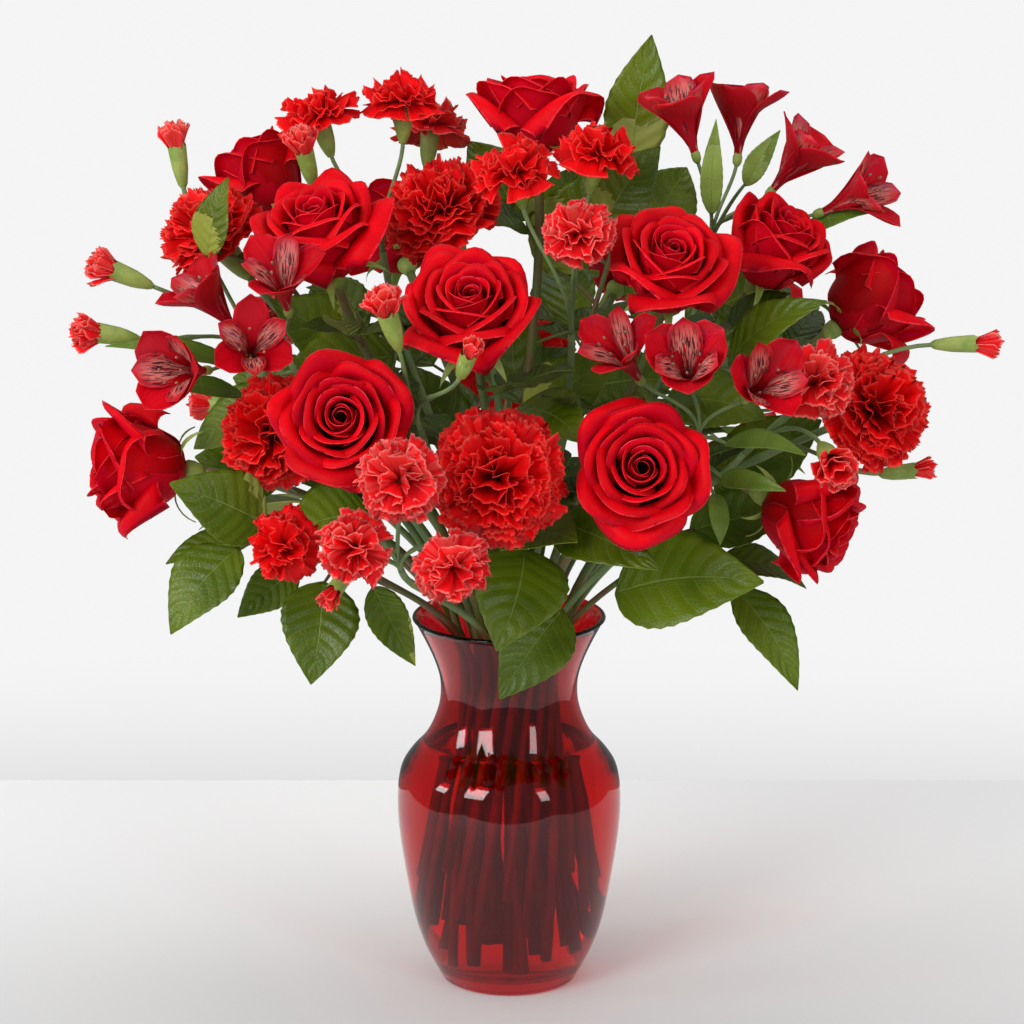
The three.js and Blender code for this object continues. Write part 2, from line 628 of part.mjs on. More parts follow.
giveSlots(stems);
stems.forEach((stem) => {
  const { name, end, way, radius, flowers = [], leaves = [], colour = 'stem' } = stem;
  const parts = [toSolid(bar(stemRoute(stem), radius, STEM_SIDES))];
  const sides = colour === 'alstroemeria' ? FUNNEL_SIDES : SMALL_HEAD_SIDES;
  flowers.forEach((flower) => parts.push(...flowerOnStalk(flower, end, way, sides)));
  const route = leaves.length ? fineRoute(stem) : [];
  leaves.forEach((leaf) => parts.push(...leafOnStalk(leaf, route)));
  addMesh(name, toGeometry(union(parts)), colour);
});
addMesh('vase', vaseGeometry(), 'glass');
addMesh('water', waterGeometry(stems), 'water');

export default group;
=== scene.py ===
"""A mixed red bouquet in a ruby glass vase: open roses, carnations, spray carnations,
alstroemeria and broad salal leaves, with water and stems seen through the glass.

Everything is worked out in millimetres in the bouquet's own frame (+Z up, the origin under
the vase, the best side facing -Y) and turned to metres as it is built.
"""

import math

import bmesh
import bpy
import numpy as np
from mathutils import Matrix, Vector


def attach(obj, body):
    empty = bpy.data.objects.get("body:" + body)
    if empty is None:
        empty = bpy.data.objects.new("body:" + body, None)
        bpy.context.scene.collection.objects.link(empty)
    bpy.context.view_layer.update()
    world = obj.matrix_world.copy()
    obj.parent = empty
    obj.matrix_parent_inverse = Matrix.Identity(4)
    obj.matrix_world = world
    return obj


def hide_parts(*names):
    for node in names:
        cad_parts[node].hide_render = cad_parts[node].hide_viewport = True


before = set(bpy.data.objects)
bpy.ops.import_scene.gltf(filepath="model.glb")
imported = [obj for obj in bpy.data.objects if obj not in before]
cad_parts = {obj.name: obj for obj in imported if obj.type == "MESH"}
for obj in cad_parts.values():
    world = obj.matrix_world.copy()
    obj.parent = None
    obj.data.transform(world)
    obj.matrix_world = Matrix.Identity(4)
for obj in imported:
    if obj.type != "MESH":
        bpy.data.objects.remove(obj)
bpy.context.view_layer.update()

MM = 0.001
GOLDEN_TURN = math.radians(137.508)
NECK_HEIGHT = 163
BEND_LOW = 0.38
BEND_HIGH = 0.3
SEAT = 6
WATER_LEVEL = 133
VASE_FLOOR = 8.0
ROSE_STEM, CARNATION_STEM = 2.4, 2.0


# ------------------------------------------------------------------ measuring the frame
def unit(way):
    return np.array(way, float) / np.linalg.norm(way)


def unique_points(node):
    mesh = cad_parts[node].data
    flat = np.empty(len(mesh.vertices) * 3)
    mesh.vertices.foreach_get("co", flat)
    return np.unique(np.round(flat.reshape(-1, 3) / MM, 2), axis=0)


def head_frame(node):
    """Base, facing direction, radius and height of a flower head, from its frame solid."""
    points = unique_points(node)
    middle = points.mean(axis=0)
    spread, ways = np.linalg.eigh(np.cov((points - middle).T))
    lone = 0 if spread[1] - spread[0] > spread[2] - spread[1] else 2
    axis = ways[:, lone]
    along = (points - middle) @ axis
    out = np.linalg.norm(points - middle - np.outer(along, axis), axis=1)
    if np.corrcoef(along, out)[0, 1] < 0:
        axis, along = -axis, -along
    return middle + axis * along.min(), axis, out.max(), np.ptp(along)


def stem_route(node, end, way, steps=14):
    """The middle line of a stem: straight in the vase, then one bend up to its flower."""
    points = unique_points(node)
    neck = points[np.abs(points[:, 2] - NECK_HEIGHT) < 1.5].mean(axis=0)
    foot = points[points[:, 2] < 75].mean(axis=0)
    upward, way = unit(neck - foot), unit(way)
    seat = np.array(end) - way * SEAT
    return np.vstack([foot, foot + (neck - foot) / 2, bend(neck, upward, seat, way, steps), end])


def bend(start, start_way, end, end_way, steps):
    """A smooth curve that leaves and arrives along the given directions."""
    start, end = np.array(start, float), np.array(end, float)
    start_way, end_way = unit(start_way), unit(end_way)
    reach = np.linalg.norm(end - start)
    low, high = start + start_way * reach * BEND_LOW, end - end_way * reach * BEND_HIGH
    t = np.linspace(0, 1, steps + 1)[:, None]
    return (start * (1 - t) ** 3 + 3 * low * t * (1 - t) ** 2
            + 3 * high * t**2 * (1 - t) + end * t**3)


# ------------------------------------------------------------------ shader building blocks
def put(tree, kind, values=None, **settings):
    """Adds a node, joins or sets its inputs, and gives it back."""
    made = tree.nodes.new(kind)
    for key, value in settings.items():
        setattr(made, key, value)
    for socket, value in (values or {}).items():
        if isinstance(value, bpy.types.NodeSocket):
            tree.links.new(value, made.inputs[socket])
        else:
            made.inputs[socket].default_value = value
    return made


def maths(tree, operation, *values):
    return put(tree, "ShaderNodeMath", dict(enumerate(values)), operation=operation).outputs[0]


def times(tree, first, second):
    return maths(tree, "MULTIPLY", first, second)


def own_place(tree):
    return put(tree, "ShaderNodeTexCoord").outputs["Object"]


def petal_uv(tree):
    """How far across and how far along its sheet a spot is, each from 0 to 1."""
    uv = put(tree, "ShaderNodeUVMap", uv_map="petal").outputs[0]
    return put(tree, "ShaderNodeSeparateXYZ", {0: uv}).outputs[:2]


def stored(tree, name):
    return put(tree, "ShaderNodeAttribute", attribute_name=name).outputs["Fac"]


def blend_colour(tree, factor, first, second):
    values = {0: factor, 6: first, 7: second}
    return put(tree, "ShaderNodeMix", values, data_type="RGBA").outputs[2]


def ramp(tree, value, low, high):
    """0 below low, 1 above high, smooth between."""
    values = {0: value, 1: low, 2: high}
    made = put(tree, "ShaderNodeMapRange", values, interpolation_type="SMOOTHSTEP")
    return made.outputs[0]


def noise(tree, where, scale, detail=3.0, roughness=0.55):
    values = {"Vector": where, "Scale": scale, "Detail": detail, "Roughness": roughness}
    return put(tree, "ShaderNodeTexNoise", values).outputs[0]


def rgb(red, green, blue):
    return (red, green, blue, 1.0)


def new_group(name, inputs, outputs):
    group = bpy.data.node_groups.new(name, "ShaderNodeTree")
    for socket, kind in inputs.items():
        group.interface.new_socket(socket, in_out="INPUT", socket_type=f"NodeSocket{kind}")
    for socket, kind in outputs.items():
        group.interface.new_socket(socket, in_out="OUTPUT", socket_type=f"NodeSocket{kind}")
    start = group.nodes.new("NodeGroupInput")
    end = group.nodes.new("NodeGroupOutput")
    return group, start.outputs, end.inputs


def build_mottle():
    """Cloudy change between two colours, with a fine height for bump."""
    group, given, result = new_group(
        "mottle",
        {"Colour": "Color", "Other": "Color", "Scale": "Float", "Amount": "Float"},
        {"Colour": "Color", "Height": "Float"},
    )
    where = own_place(group)
    broad = noise(group, where, given["Scale"])
    fine = noise(group, where, times(group, given["Scale"], 9.0), 2.0)
    share = times(group, ramp(group, broad, 0.35, 0.65), given["Amount"])
    colour = blend_colour(group, share, given["Colour"], given["Other"])
    group.links.new(colour, result["Colour"])
    group.links.new(fine, result["Height"])
    return group


def build_petal_skin():
    """A petal's colour: painted shade deep at the foot, paler at the rim, finely veined, duller
    behind.
    """
    group, given, result = new_group(
        "petal_skin",
        {"Deep": "Color", "Body": "Color", "Rim": "Color", "Behind": "Color",
         "Rim width": "Float", "Vein": "Float"},
        {"Colour": "Color", "Height": "Float"},
    )
    across, along = petal_uv(group)
    tint = stored(group, "tint")
    back = stored(group, "back")
    shift = times(group, tint, 37.0)
    fan = put(group, "ShaderNodeCombineXYZ",
              {0: times(group, across, 46.0),
               1: times(group, along, 2.2), 2: shift}).outputs[0]
    veins = noise(group, fan, 1.0, 2.0)
    where = own_place(group)
    cloud = noise(group, where, 70.0)
    # painted shade: each petal darkens towards its foot, where it sits deep inside the flower
    colour = blend_colour(group, ramp(group, along, 0.1, 0.85), given["Deep"], given["Body"])
    shade = times(group, ramp(group, cloud, 0.3, 0.7), 0.35)
    colour = blend_colour(group, shade, colour, given["Deep"])
    streak = times(group, ramp(group, veins, 0.42, 0.62), given["Vein"])
    colour = blend_colour(group, streak, colour, given["Deep"])
    colour = blend_colour(group, times(group, back, 0.8), colour, given["Behind"])
    side = maths(group, "ABSOLUTE", maths(group, "SUBTRACT", across, 0.5))
    inner = maths(group, "SUBTRACT", 1.0, given["Rim width"])
    half = times(group, inner, 0.5)
    edge = maths(group, "MAXIMUM", ramp(group, along, inner, 1.0), ramp(group, side, half, 0.5))
    ragged = times(group, edge, ramp(group, noise(group, where, 420.0), 0.25, 0.6))
    colour = blend_colour(group, ragged, colour, given["Rim"])
    lift = maths(group, "MULTIPLY_ADD", tint, 0.5, 0.72)
    value = put(group, "ShaderNodeHueSaturation", {"Value": lift, "Color": colour}).outputs[0]
    group.links.new(value, result["Colour"])
    group.links.new(veins, result["Height"])
    return group


def build_leaf_veins():
    """A midrib with curved side veins and a net between them, from the leaf's own UV map."""
    group, given, result = new_group(
        "leaf_veins",
        {"Count": "Float", "Slope": "Float"},
        {"Rib": "Float", "Veins": "Float", "Height": "Float"},
    )
    across, up = petal_uv(group)
    side = maths(group, "ABSOLUTE", maths(group, "SUBTRACT", across, 0.5))
    taper = maths(group, "MULTIPLY_ADD", up, -0.014, 0.024)
    rib = maths(group, "SUBTRACT", 1.0, ramp(group, side, 0.004, taper))
    curve = maths(group, "POWER", times(group, side, 2.0), 1.25)
    along = maths(group, "SUBTRACT", up, times(group, curve, given["Slope"]))
    phase = maths(group, "FRACT", times(group, along, given["Count"]))
    nearness = maths(group, "ABSOLUTE", maths(group, "SUBTRACT", phase, 0.5))
    veins = maths(group, "SUBTRACT", 1.0, ramp(group, nearness, 0.01, 0.07))
    fade = ramp(group, side, 0.5, 0.36)
    veins = times(group, veins, fade)
    where = own_place(group)
    cells = put(group, "ShaderNodeTexVoronoi", {"Vector": where, "Scale": 420.0},
                feature="DISTANCE_TO_EDGE").outputs[0]
    net = ramp(group, cells, 0.0, 0.16)
    quilt = times(group, ramp(group, nearness, 0.0, 0.5), 0.8)
    height = maths(group, "ADD", times(group, net, 0.15), quilt)
    height = maths(group, "SUBTRACT", height, times(group, rib, 0.8))
    group.links.new(rib, result["Rib"])
    group.links.new(veins, result["Veins"])
    group.links.new(height, result["Height"])
    return group


groups = {"mottle": build_mottle(), "petal": build_petal_skin(), "veins": build_leaf_veins()}


def use_group(tree, name, values):
    return put(tree, "ShaderNodeGroup", values, node_tree=groups[name]).outputs


def new_material(name, **sockets):
    material = bpy.data.materials.new(name)
    material.use_nodes = True
    shader = material.node_tree.nodes["Principled BSDF"]
    for socket, value in sockets.items():
        shader.inputs[socket.replace("_", " ")].default_value = value
    return material, material.node_tree, shader


def bump(tree, shader, height, distance, strength=1.0):
    values = {"Strength": strength, "Distance": distance, "Height": height}
    normal = put(tree, "ShaderNodeBump", values).outputs[0]
    tree.links.new(normal, shader.inputs["Normal"])


# ------------------------------------------------------------------ materials
def petal_material(name, deep, body, rim, behind, rim_width, vein, roughness, glow, sheen):
    material, tree, shader = new_material(
        name, Roughness=roughness, Subsurface_Weight=glow, Subsurface_Scale=0.004,
        Subsurface_Radius=(1.0, 0.18, 0.12), Sheen_Weight=sheen, Sheen_Roughness=0.4,
        Sheen_Tint=rgb(1.0, 0.12, 0.16), Specular_IOR_Level=0.07,
    )
    skin = use_group(tree, "petal", {
        "Deep": rgb(*deep), "Body": rgb(*body), "Rim": rgb(*rim), "Behind": rgb(*behind),
        "Rim width": rim_width, "Vein": vein})
    tree.links.new(skin["Colour"], shader.inputs["Base Color"])
    bump(tree, shader, skin["Height"], 0.0004, 0.5)
    return material


def streaked_material():
    """The two upper inner petals of alstroemeria: a pale ground with dark dashes."""
    material, tree, shader = new_material(
        "alstroemeria_streaked", Roughness=0.5, Subsurface_Weight=0.25, Subsurface_Scale=0.003,
        Subsurface_Radius=(1.0, 0.35, 0.3))
    across, along = petal_uv(tree)
    ground = blend_colour(tree, ramp(tree, along, 0.62, 0.95),
                          rgb(0.78, 0.24, 0.2), rgb(0.6, 0.004, 0.014))
    side = maths(tree, "ABSOLUTE", maths(tree, "SUBTRACT", across, 0.5))
    ground = blend_colour(tree, ramp(tree, side, 0.22, 0.45), ground, rgb(0.55, 0.004, 0.014))
    fan = put(tree, "ShaderNodeCombineXYZ", {0: times(tree, across, 17.0),
                                             1: times(tree, along, 4.0)}).outputs[0]
    dashes = ramp(tree, noise(tree, fan, 1.6, 1.0), 0.52, 0.56)
    marks = times(tree, dashes, ramp(tree, along, 0.96, 0.8))
    colour = blend_colour(tree, marks, ground, rgb(0.09, 0.005, 0.012))
    tree.links.new(colour, shader.inputs["Base Color"])
    bump(tree, shader, dashes, 0.0002, 0.3)
    return material


def leaf_material(name, upper, second, under, vein_colour, count, slope, roughness):
    material, tree, shader = new_material(
        name, Roughness=roughness, Subsurface_Weight=0.08, Subsurface_Scale=0.002,
        Subsurface_Radius=(0.4, 1.0, 0.2), Specular_IOR_Level=0.35)
    veins = use_group(tree, "veins", {"Count": count, "Slope": slope})
    cloud = use_group(tree, "mottle", {"Colour": rgb(*upper), "Other": rgb(*second),
                                       "Scale": 28.0, "Amount": 0.9})
    back = stored(tree, "back")
    tint = stored(tree, "tint")
    ribs = maths(tree, "MAXIMUM", veins["Rib"], times(tree, veins["Veins"], 0.4))
    lines = times(tree, ribs, 0.5)
    top = blend_colour(tree, lines, cloud["Colour"], rgb(*vein_colour))
    colour = blend_colour(tree, back, top, rgb(*under))
    lift = maths(tree, "MULTIPLY_ADD", tint, 0.7, 0.65)
    value = put(tree, "ShaderNodeHueSaturation", {"Value": lift, "Color": colour}).outputs[0]
    tree.links.new(value, shader.inputs["Base Color"])
    dull = maths(tree, "MULTIPLY_ADD", back, 0.3, roughness)
    tree.links.new(dull, shader.inputs["Roughness"])
    bump(tree, shader, veins["Height"], 0.0009, 0.6)
    return material


def green_material(name, first, second, roughness, scale=60.0):
    material, tree, shader = new_material(
        name, Roughness=roughness, Subsurface_Weight=0.1, Subsurface_Scale=0.002,
        Subsurface_Radius=(0.4, 1.0, 0.2))
    cloud = use_group(tree, "mottle", {"Colour": rgb(*first), "Other": rgb(*second),
                                       "Scale": scale, "Amount": 1.0})
    tree.links.new(cloud["Colour"], shader.inputs["Base Color"])
    bump(tree, shader, cloud["Height"], 0.0003, 0.6)
    return material


def clear_material(name, colour, ior, ripple_scale, ripple, shadow_tint):
    """Glass or water that lets a tinted shadow through."""
    material, tree, shader = new_material(
        name, Base_Color=rgb(*colour), Roughness=0.0, IOR=ior, Transmission_Weight=1.0)
    where = own_place(tree)
    bump(tree, shader, noise(tree, where, ripple_scale, 1.0), ripple, 1.0)
    smear = ramp(tree, noise(tree, where, 40.0), 0.3, 0.8)
    tree.links.new(times(tree, smear, 0.008), shader.inputs["Roughness"])
    out = tree.nodes["Material Output"]
    clear = put(tree, "ShaderNodeBsdfTransparent", {0: rgb(*shadow_tint)}).outputs[0]
    shadow = put(tree, "ShaderNodeLightPath").outputs["Is Shadow Ray"]
    mixed = put(tree, "ShaderNodeMixShader", {0: shadow, 1: shader.outputs[0], 2: clear})
    tree.links.new(mixed.outputs[0], out.inputs["Surface"])
    return material


def floor_material():
    material, tree, shader = new_material("pale_floor", Roughness=0.6, Specular_IOR_Level=0.2)
    cloud = use_group(tree, "mottle", {"Colour": rgb(0.85, 0.85, 0.85), "Scale": 1.5,
                                       "Other": rgb(0.835, 0.835, 0.84), "Amount": 1.0})
    where = own_place(tree)
    depth = put(tree, "ShaderNodeSeparateXYZ", {0: where}).outputs[1]
    # painted shade: the floor's colour darkens towards the front, standing in for the light falling
    # off there
    painted_front_shade = ramp(tree, depth, 0.3, -0.15)
    colour = blend_colour(tree, painted_front_shade, cloud["Colour"], rgb(0.63, 0.63, 0.63))
    tree.links.new(colour, shader.inputs["Base Color"])
    return material


looks = {
    "rose": petal_material("rose_petal", (0.34, 0.0, 0.002), (0.76, 0.0, 0.006),
                           (0.86, 0.03, 0.05), (0.58, 0.001, 0.014), 0.03, 0.1, 0.5, 0.12, 0.05),
    "carnation": petal_material("carnation_petal", (0.42, 0.0, 0.001), (0.84, 0.002, 0.004),
                                (0.9, 0.05, 0.04), (0.76, 0.008, 0.01), 0.05, 0.15, 0.6,
                                0.15, 0.04),
    "spray": petal_material("spray_carnation_petal", (0.5, 0.001, 0.004), (0.86, 0.008, 0.012),
                            (0.92, 0.17, 0.15), (0.86, 0.045, 0.045), 0.07, 0.15, 0.6, 0.2, 0.04),
    "alstroemeria": petal_material("alstroemeria_petal", (0.28, 0.0, 0.004), (0.6, 0.002, 0.01),
                                   (0.66, 0.02, 0.03), (0.46, 0.008, 0.018), 0.05, 0.4, 0.42,
                                   0.15, 0.06),
    "streaked": streaked_material(),
    "salal": leaf_material("salal_leaf", (0.055, 0.09, 0.0), (0.1, 0.14, 0.002),
                           (0.24, 0.28, 0.03), (0.2, 0.26, 0.05), 8.0, 0.2, 0.36),
    "lance": leaf_material("lance_leaf", (0.085, 0.15, 0.012), (0.14, 0.22, 0.02),
                           (0.2, 0.28, 0.05), (0.22, 0.31, 0.08), 3.0, 0.02, 0.45),
    "rose_leaf": leaf_material("rose_leaf", (0.034, 0.066, 0.001), (0.055, 0.095, 0.003),
                               (0.14, 0.18, 0.03), (0.11, 0.18, 0.04), 7.0, 0.25, 0.42),
    "rose_stem": green_material("rose_stem", (0.09, 0.15, 0.03), (0.15, 0.1, 0.03), 0.45),
    "pale_stem": green_material("pale_stem", (0.12, 0.2, 0.07), (0.18, 0.26, 0.09), 0.6),
    "calyx": green_material("calyx", (0.2, 0.3, 0.05), (0.3, 0.38, 0.08), 0.5, 120.0),
    "woody": green_material("woody_branch", (0.1, 0.12, 0.03), (0.14, 0.07, 0.025), 0.6),
    "anther": green_material("anther", (0.36, 0.2, 0.12), (0.2, 0.08, 0.06), 0.7, 300.0),
    "glass": clear_material("ruby_glass", (0.75, 0.006, 0.014), 1.5, 9.0, 0.0006,
                            (0.85, 0.35, 0.36)),
    "water": clear_material("water", (0.98, 0.99, 0.99), 1.33, 20.0, 0.0001, (0.97, 0.95, 0.95)),
    "floor": floor_material(),
}


# ------------------------------------------------------------------ building sheets and bars
class Place:
    """A local frame: millimetres with +Z along an axis, put where the flower stands."""

    def __init__(self, base, axis, spin=0.0, wide=1.0, tall=1.0):
        turn = Vector(axis).to_track_quat("Z", "Y").to_matrix() @ Matrix.Rotation(spin, 3, "Z")
        self.turn = np.array(turn)
        self.base = np.array(base, float)
        self.stretch = np.array([wide, wide, tall])

    def put(self, points):
        return self.base + (points * self.stretch) @ self.turn.T


def add_object(name, data):
    made = bpy.data.objects.new(name, data)
    bpy.context.collection.objects.link(made)
    return made


class Piece:
    """Collects the sheets and bars of one piece of the bouquet."""

    def __init__(self, *finishes):
        self.bm = bmesh.new()
        self.bm.loops.layers.uv.new("petal")
        self.tint = self.bm.verts.layers.float.new("tint")
        self.back = self.bm.verts.layers.float.new("back")
        self.finishes = finishes

    def sheet(self, shape, columns, rows, finish, thickness=0.0, tint=0.5, place=None):
        """A grid bent by shape(across, along) and, where asked, given a thickness."""
        made = bmesh.ops.create_grid(self.bm, x_segments=columns, y_segments=rows, size=1,
                                     calc_uvs=True)["verts"]
        across, along = np.meshgrid(np.linspace(-1, 1, columns + 1), np.linspace(0, 1, rows + 1))
        places = shape(across, along)
        if place is not None:
            places = place.put(places)
        places = places * MM
        for vert in made:
            column = round((vert.co.x + 1) * columns / 2)
            row = round((vert.co.y + 1) * rows / 2)
            vert.co = places[row, column]
            vert[self.tint] = tint
        faces = list(dict.fromkeys(face for vert in made for face in vert.link_faces))
        for face in faces:
            face.material_index = self.finishes.index(finish)
            face.smooth = True
        if thickness:
            wall = bmesh.ops.solidify(self.bm, geom=faces, thickness=thickness * MM)["geom"]
            for part in wall:
                if isinstance(part, bmesh.types.BMVert):
                    part[self.back] = 1
        return made

    def bar(self, points, radii, sides, finish, tint=0.5, place=None):
        """A round bar through points, closed at both ends, whose radius may change."""
        points = np.array(points, float)
        radii = np.broadcast_to(np.array(radii, float), len(points))
        ways = np.gradient(points, axis=0)
        ways /= np.linalg.norm(ways, axis=1)[:, None]
        first = np.cross(ways[0], [0.3, 0.9, 0.2])
        sides_one = []
        for way in ways:
            first = first - way * (first @ way)
            first = first / np.linalg.norm(first)
            sides_one.append(first)
        one = np.array(sides_one)
        two = np.cross(ways, one)
        rows = [0, *range(len(points)), len(points) - 1]
        points, one, two = points[rows], one[rows], two[rows]
        radii = np.concatenate([[0], radii, [0]])

        def shape(across, along):
            turn = np.pi * across[..., None]
            ring = np.cos(turn) * one[:, None] + np.sin(turn) * two[:, None]
            return points[:, None] + radii[:, None, None] * ring

        made = self.sheet(shape, sides, len(points) - 1, finish, tint=tint, place=place)
        bmesh.ops.remove_doubles(self.bm, verts=made, dist=1e-7)

    def done(self, name, slot, *nodes):
        mesh = bpy.data.meshes.new(name)
        self.bm.to_mesh(mesh)
        self.bm.free()
        piece = add_object(name, mesh)
        for finish in self.finishes:
            mesh.materials.append(looks[finish])
        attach(piece, "root")
        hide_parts(*nodes)
        return piece


def walk(angle, reach):
    """Follows each column of a petal up from its foot; the angle is from straight up."""
    step = reach / (len(angle) - 1)
    middle = (angle[1:] + angle[:-1]) / 2
    start = np.zeros((1, angle.shape[1]))
    out = np.vstack([start, np.cumsum(np.sin(middle) * step, axis=0)])
    up = np.vstack([start, np.cumsum(np.cos(middle) * step, axis=0)])
    return out, up


def around(out, side, up, turn):
    """Points from a distance out, a step sideways and a height, at a turn round the axis."""
    c, s = np.cos(turn), np.sin(turn)
    return np.stack([out * c - side * s, out * s + side * c, up + 0 * out], axis=-1)


def smooth(x):
    x = np.clip(x, 0, 1)
    return x * x * (3 - 2 * x)


# ------------------------------------------------------------------ roses
ROSE_RADIUS, ROSE_HEIGHT = 36.5, 55.0  # of the rose that the petal formulas make
ROSE_PETALS = 29
CUP = 0.62  # the share of a petal's rows below its turned-out lip
FALL_FROM = 0.78  # petals further out than this may fall open
FALL_LEAN = math.radians(32)
FALL_DROP = 5
FALL_LIP = 4


def cup_curve(foot, rim, foot_angle, rim_angle, v):
    """The side line of a petal's cup; angles are from straight up. Gives out and up."""
    reach = np.hypot(rim[0] - foot[0], rim[1] - foot[1])
    low_out = foot[0] + 0.4 * reach * np.sin(foot_angle)
    low_up = foot[1] + 0.4 * reach * np.cos(foot_angle)
    high_out = rim[0] - 0.4 * reach * np.sin(rim_angle)
    high_up = rim[1] - 0.4 * reach * np.cos(rim_angle)
    parts = (1 - v) ** 3, 3 * v * (1 - v) ** 2, 3 * v**2 * (1 - v), v**3
    out = parts[0] * foot[0] + parts[1] * low_out + parts[2] * high_out + parts[3] * rim[0]
    up = parts[0] * foot[1] + parts[1] * low_up + parts[2] * high_up + parts[3] * rim[1]
    return out, up


def rose_petal(t, turn, dice, open_side):
    """A petal's shape; t is 0 at the heart of the rose and 1 outside."""
    steps = [0, 0.3, 0.6, 0.85, 1]
    looser = t**2 * (math.cos(turn - open_side) + dice.uniform(-0.25, 0.25))
    rim_out = 1.2 + 28.7 * t**1.3 + looser
    rim_up = np.interp(t, steps, [47, 49, 48, 45.5, 41]) + dice.uniform(-1, 1) - 2 * looser
    rim_angle = math.radians(np.interp(t, steps, [-24, -4, 6, 18, 34]) + 9 * looser)
    foot_angle = math.radians(np.interp(t, steps, [12, 40, 62, 76, 84]))
    fallen = max(0.0, t - FALL_FROM) * 4.5 * dice.random()
    rim_up -= FALL_DROP * fallen
    rim_angle += FALL_LEAN * fallen
    lip = np.interp(t, steps, [1.5, 4, 6, 7, 8]) * dice.uniform(0.75, 1.25) + FALL_LIP * fallen
    curl = math.radians(np.interp(t, steps, [20, 62, 92, 96, 84])) * dice.uniform(0.65, 1.35)
    half_turn = np.interp(t, [0, 0.3, 0.6, 1], [1.9, 1.4, 1.2, 1.16]) * dice.uniform(0.9, 1.1)
    foot = (1.5 + 3 * t, 9.0)
    spiral = 0.9 + 0.3 * t
    point = 0.3 * t**1.5
    phase, skew = dice.uniform(0, 6.28), dice.uniform(-0.25, 0.25)
    wave = 2.6 * t**1.5

    def shape(u, v):
        corner = np.abs(u) ** 1.7
        drop = 1 - (0.08 + 0.08 * t) * np.abs(u) ** 2.4
        fold = 1 - point * corner
        cup = np.clip(v / CUP, 0, 1) * fold * drop
        out, up = cup_curve(foot, (rim_out, rim_up), foot_angle, rim_angle, cup)
        share = np.clip((v - CUP) / (1 - CUP), 0, 1)
        reach = lip * (1 + 1.6 * point * corner) * (1 - 0.25 * np.abs(u) ** 3)
        start = rim_angle + (foot_angle - rim_angle) * (1 - fold * drop) * 1.4
        angle = start + curl * (1 + skew * u) * share**1.3
        lip_out, lip_up = walk(np.where(share > 0, angle, start), reach[0] / (1 - CUP))
        first = int(CUP * (u.shape[0] - 1) + 0.5)
        row = np.arange(u.shape[0])[:, None]
        beyond = row > first
        out = np.where(beyond, out[first] + lip_out - lip_out[first], out)
        up = np.where(beyond, up[first] + lip_up - lip_up[first], up)
        sway = wave * v**4 * np.sin(1.7 * np.pi * u + phase)
        out = np.maximum(out + spiral * (u + 1) * smooth(v / 0.3) + sway * 0.5, 0.5)
        up = up + sway
        spread = (0.5 + 0.5 * smooth(v / 0.45)) * (1 - 0.34 * t**2 * share**1.4)
        return around(out, 0, up, turn - u * half_turn * spread)

    return shape


def sepal(turn, length, width, dice):
    """A narrow green tongue under the flower, bent back."""
    bow = dice.uniform(0.7, 1.3)

    def shape(u, v):
        angle = math.radians(55) + math.radians(95) * bow * v
        out, up = walk(angle + 0 * u, np.full(u.shape[1], length))
        side = -u * width * (1 - v**1.5) * (0.5 + 0.5 * smooth(v * 6))
        return around(out + 4, side, up + 9 + np.abs(u) * 0.6, turn)

    return shape


def build_rose(number):
    name = f"rose_bloom_{number}"
    dice = np.random.default_rng(1000 + number)
    base, axis, radius, height = head_frame(name)
    place = Place(base, axis, dice.uniform(0, 6.28), radius / ROSE_RADIUS, height / ROSE_HEIGHT)
    piece = Piece("rose", "calyx")
    open_side = dice.uniform(0, 6.28)
    for i in range(ROSE_PETALS):
        t = i / (ROSE_PETALS - 1)
        turn = i * GOLDEN_TURN + dice.uniform(-0.15, 0.15) * t
        shape = rose_petal(t, turn, dice, open_side)
        piece.sheet(shape, 14, 12, "rose", 0.35, dice.uniform(0.2, 0.8), place)
    piece.bar([(0, 0, z) for z in (0, 2, 5, 8, 10)], [2.4, 3.6, 5.2, 5.4, 4.2], 12, "calyx",
              place=place)
    for i in range(5):
        piece.sheet(sepal(i * 1.2566 + 0.4, dice.uniform(22, 30), 3.6, dice), 4, 8, "calyx",
                    0.4, 0.5, place)
    piece.done(f"rose_flower_{number}", "rose_petal", name)


# ------------------------------------------------------------------ carnations
def frilled_petal(lean, length, width, foot, turn, dice, frill, waves):
    """A fan with a toothed, ruffled rim on a narrow claw."""
    phase, second = dice.uniform(0, 6.28), dice.uniform(0, 6.28)
    droop = dice.uniform(0.0, 0.5)
    twist = dice.uniform(-0.5, 0.5)
    fold = dice.uniform(-1.1, 1.1)

    def shape(u, v):
        teeth = np.where(np.arange(u.shape[1]) % 2 == 0, 0.0, 0.045)
        ragged = 0.03 * np.sin(9 * u[0] + phase)
        reach = length * (1 - 0.14 * u[0] ** 2 + teeth + ragged)
        angle = lean * smooth(v / 0.55) + droop * v**3
        out, up = walk(angle, reach)
        ruffle = frill * v**1.6 * (np.sin(np.pi * waves * u + phase)
                                   + 0.45 * np.sin(np.pi * (2.3 * waves) * u + second))
        ruffle = ruffle + fold * frill * u * v**2 + frill * 0.5 * u**2 * v**2
        out = out - np.cos(angle) * ruffle
        up = up + np.sin(angle) * ruffle
        side = -u * width * (0.13 + 0.87 * v**1.25) + twist * ruffle
        return around(out + foot[0], side, up + foot[1], turn + twist * 0.4 * v)

    return shape


FULL_COUNT = 30  # a head with fewer petals is a small one: looser and more ruffled


def toothed_cup(radii, height, teeth, tooth):
    """A calyx: a tube whose rim is cut into pointed teeth."""

    def shape(u, v):
        turn = np.pi * u
        point = np.abs(((u + 1) / 2 * teeth) % 1 - 0.5) * 2
        r = np.interp(v, np.linspace(0, 1, len(radii)), radii)
        up = v * height + tooth * point * smooth((v - 0.7) / 0.3)
        return np.stack([r * np.cos(turn), r * np.sin(turn), up], axis=-1)

    return shape


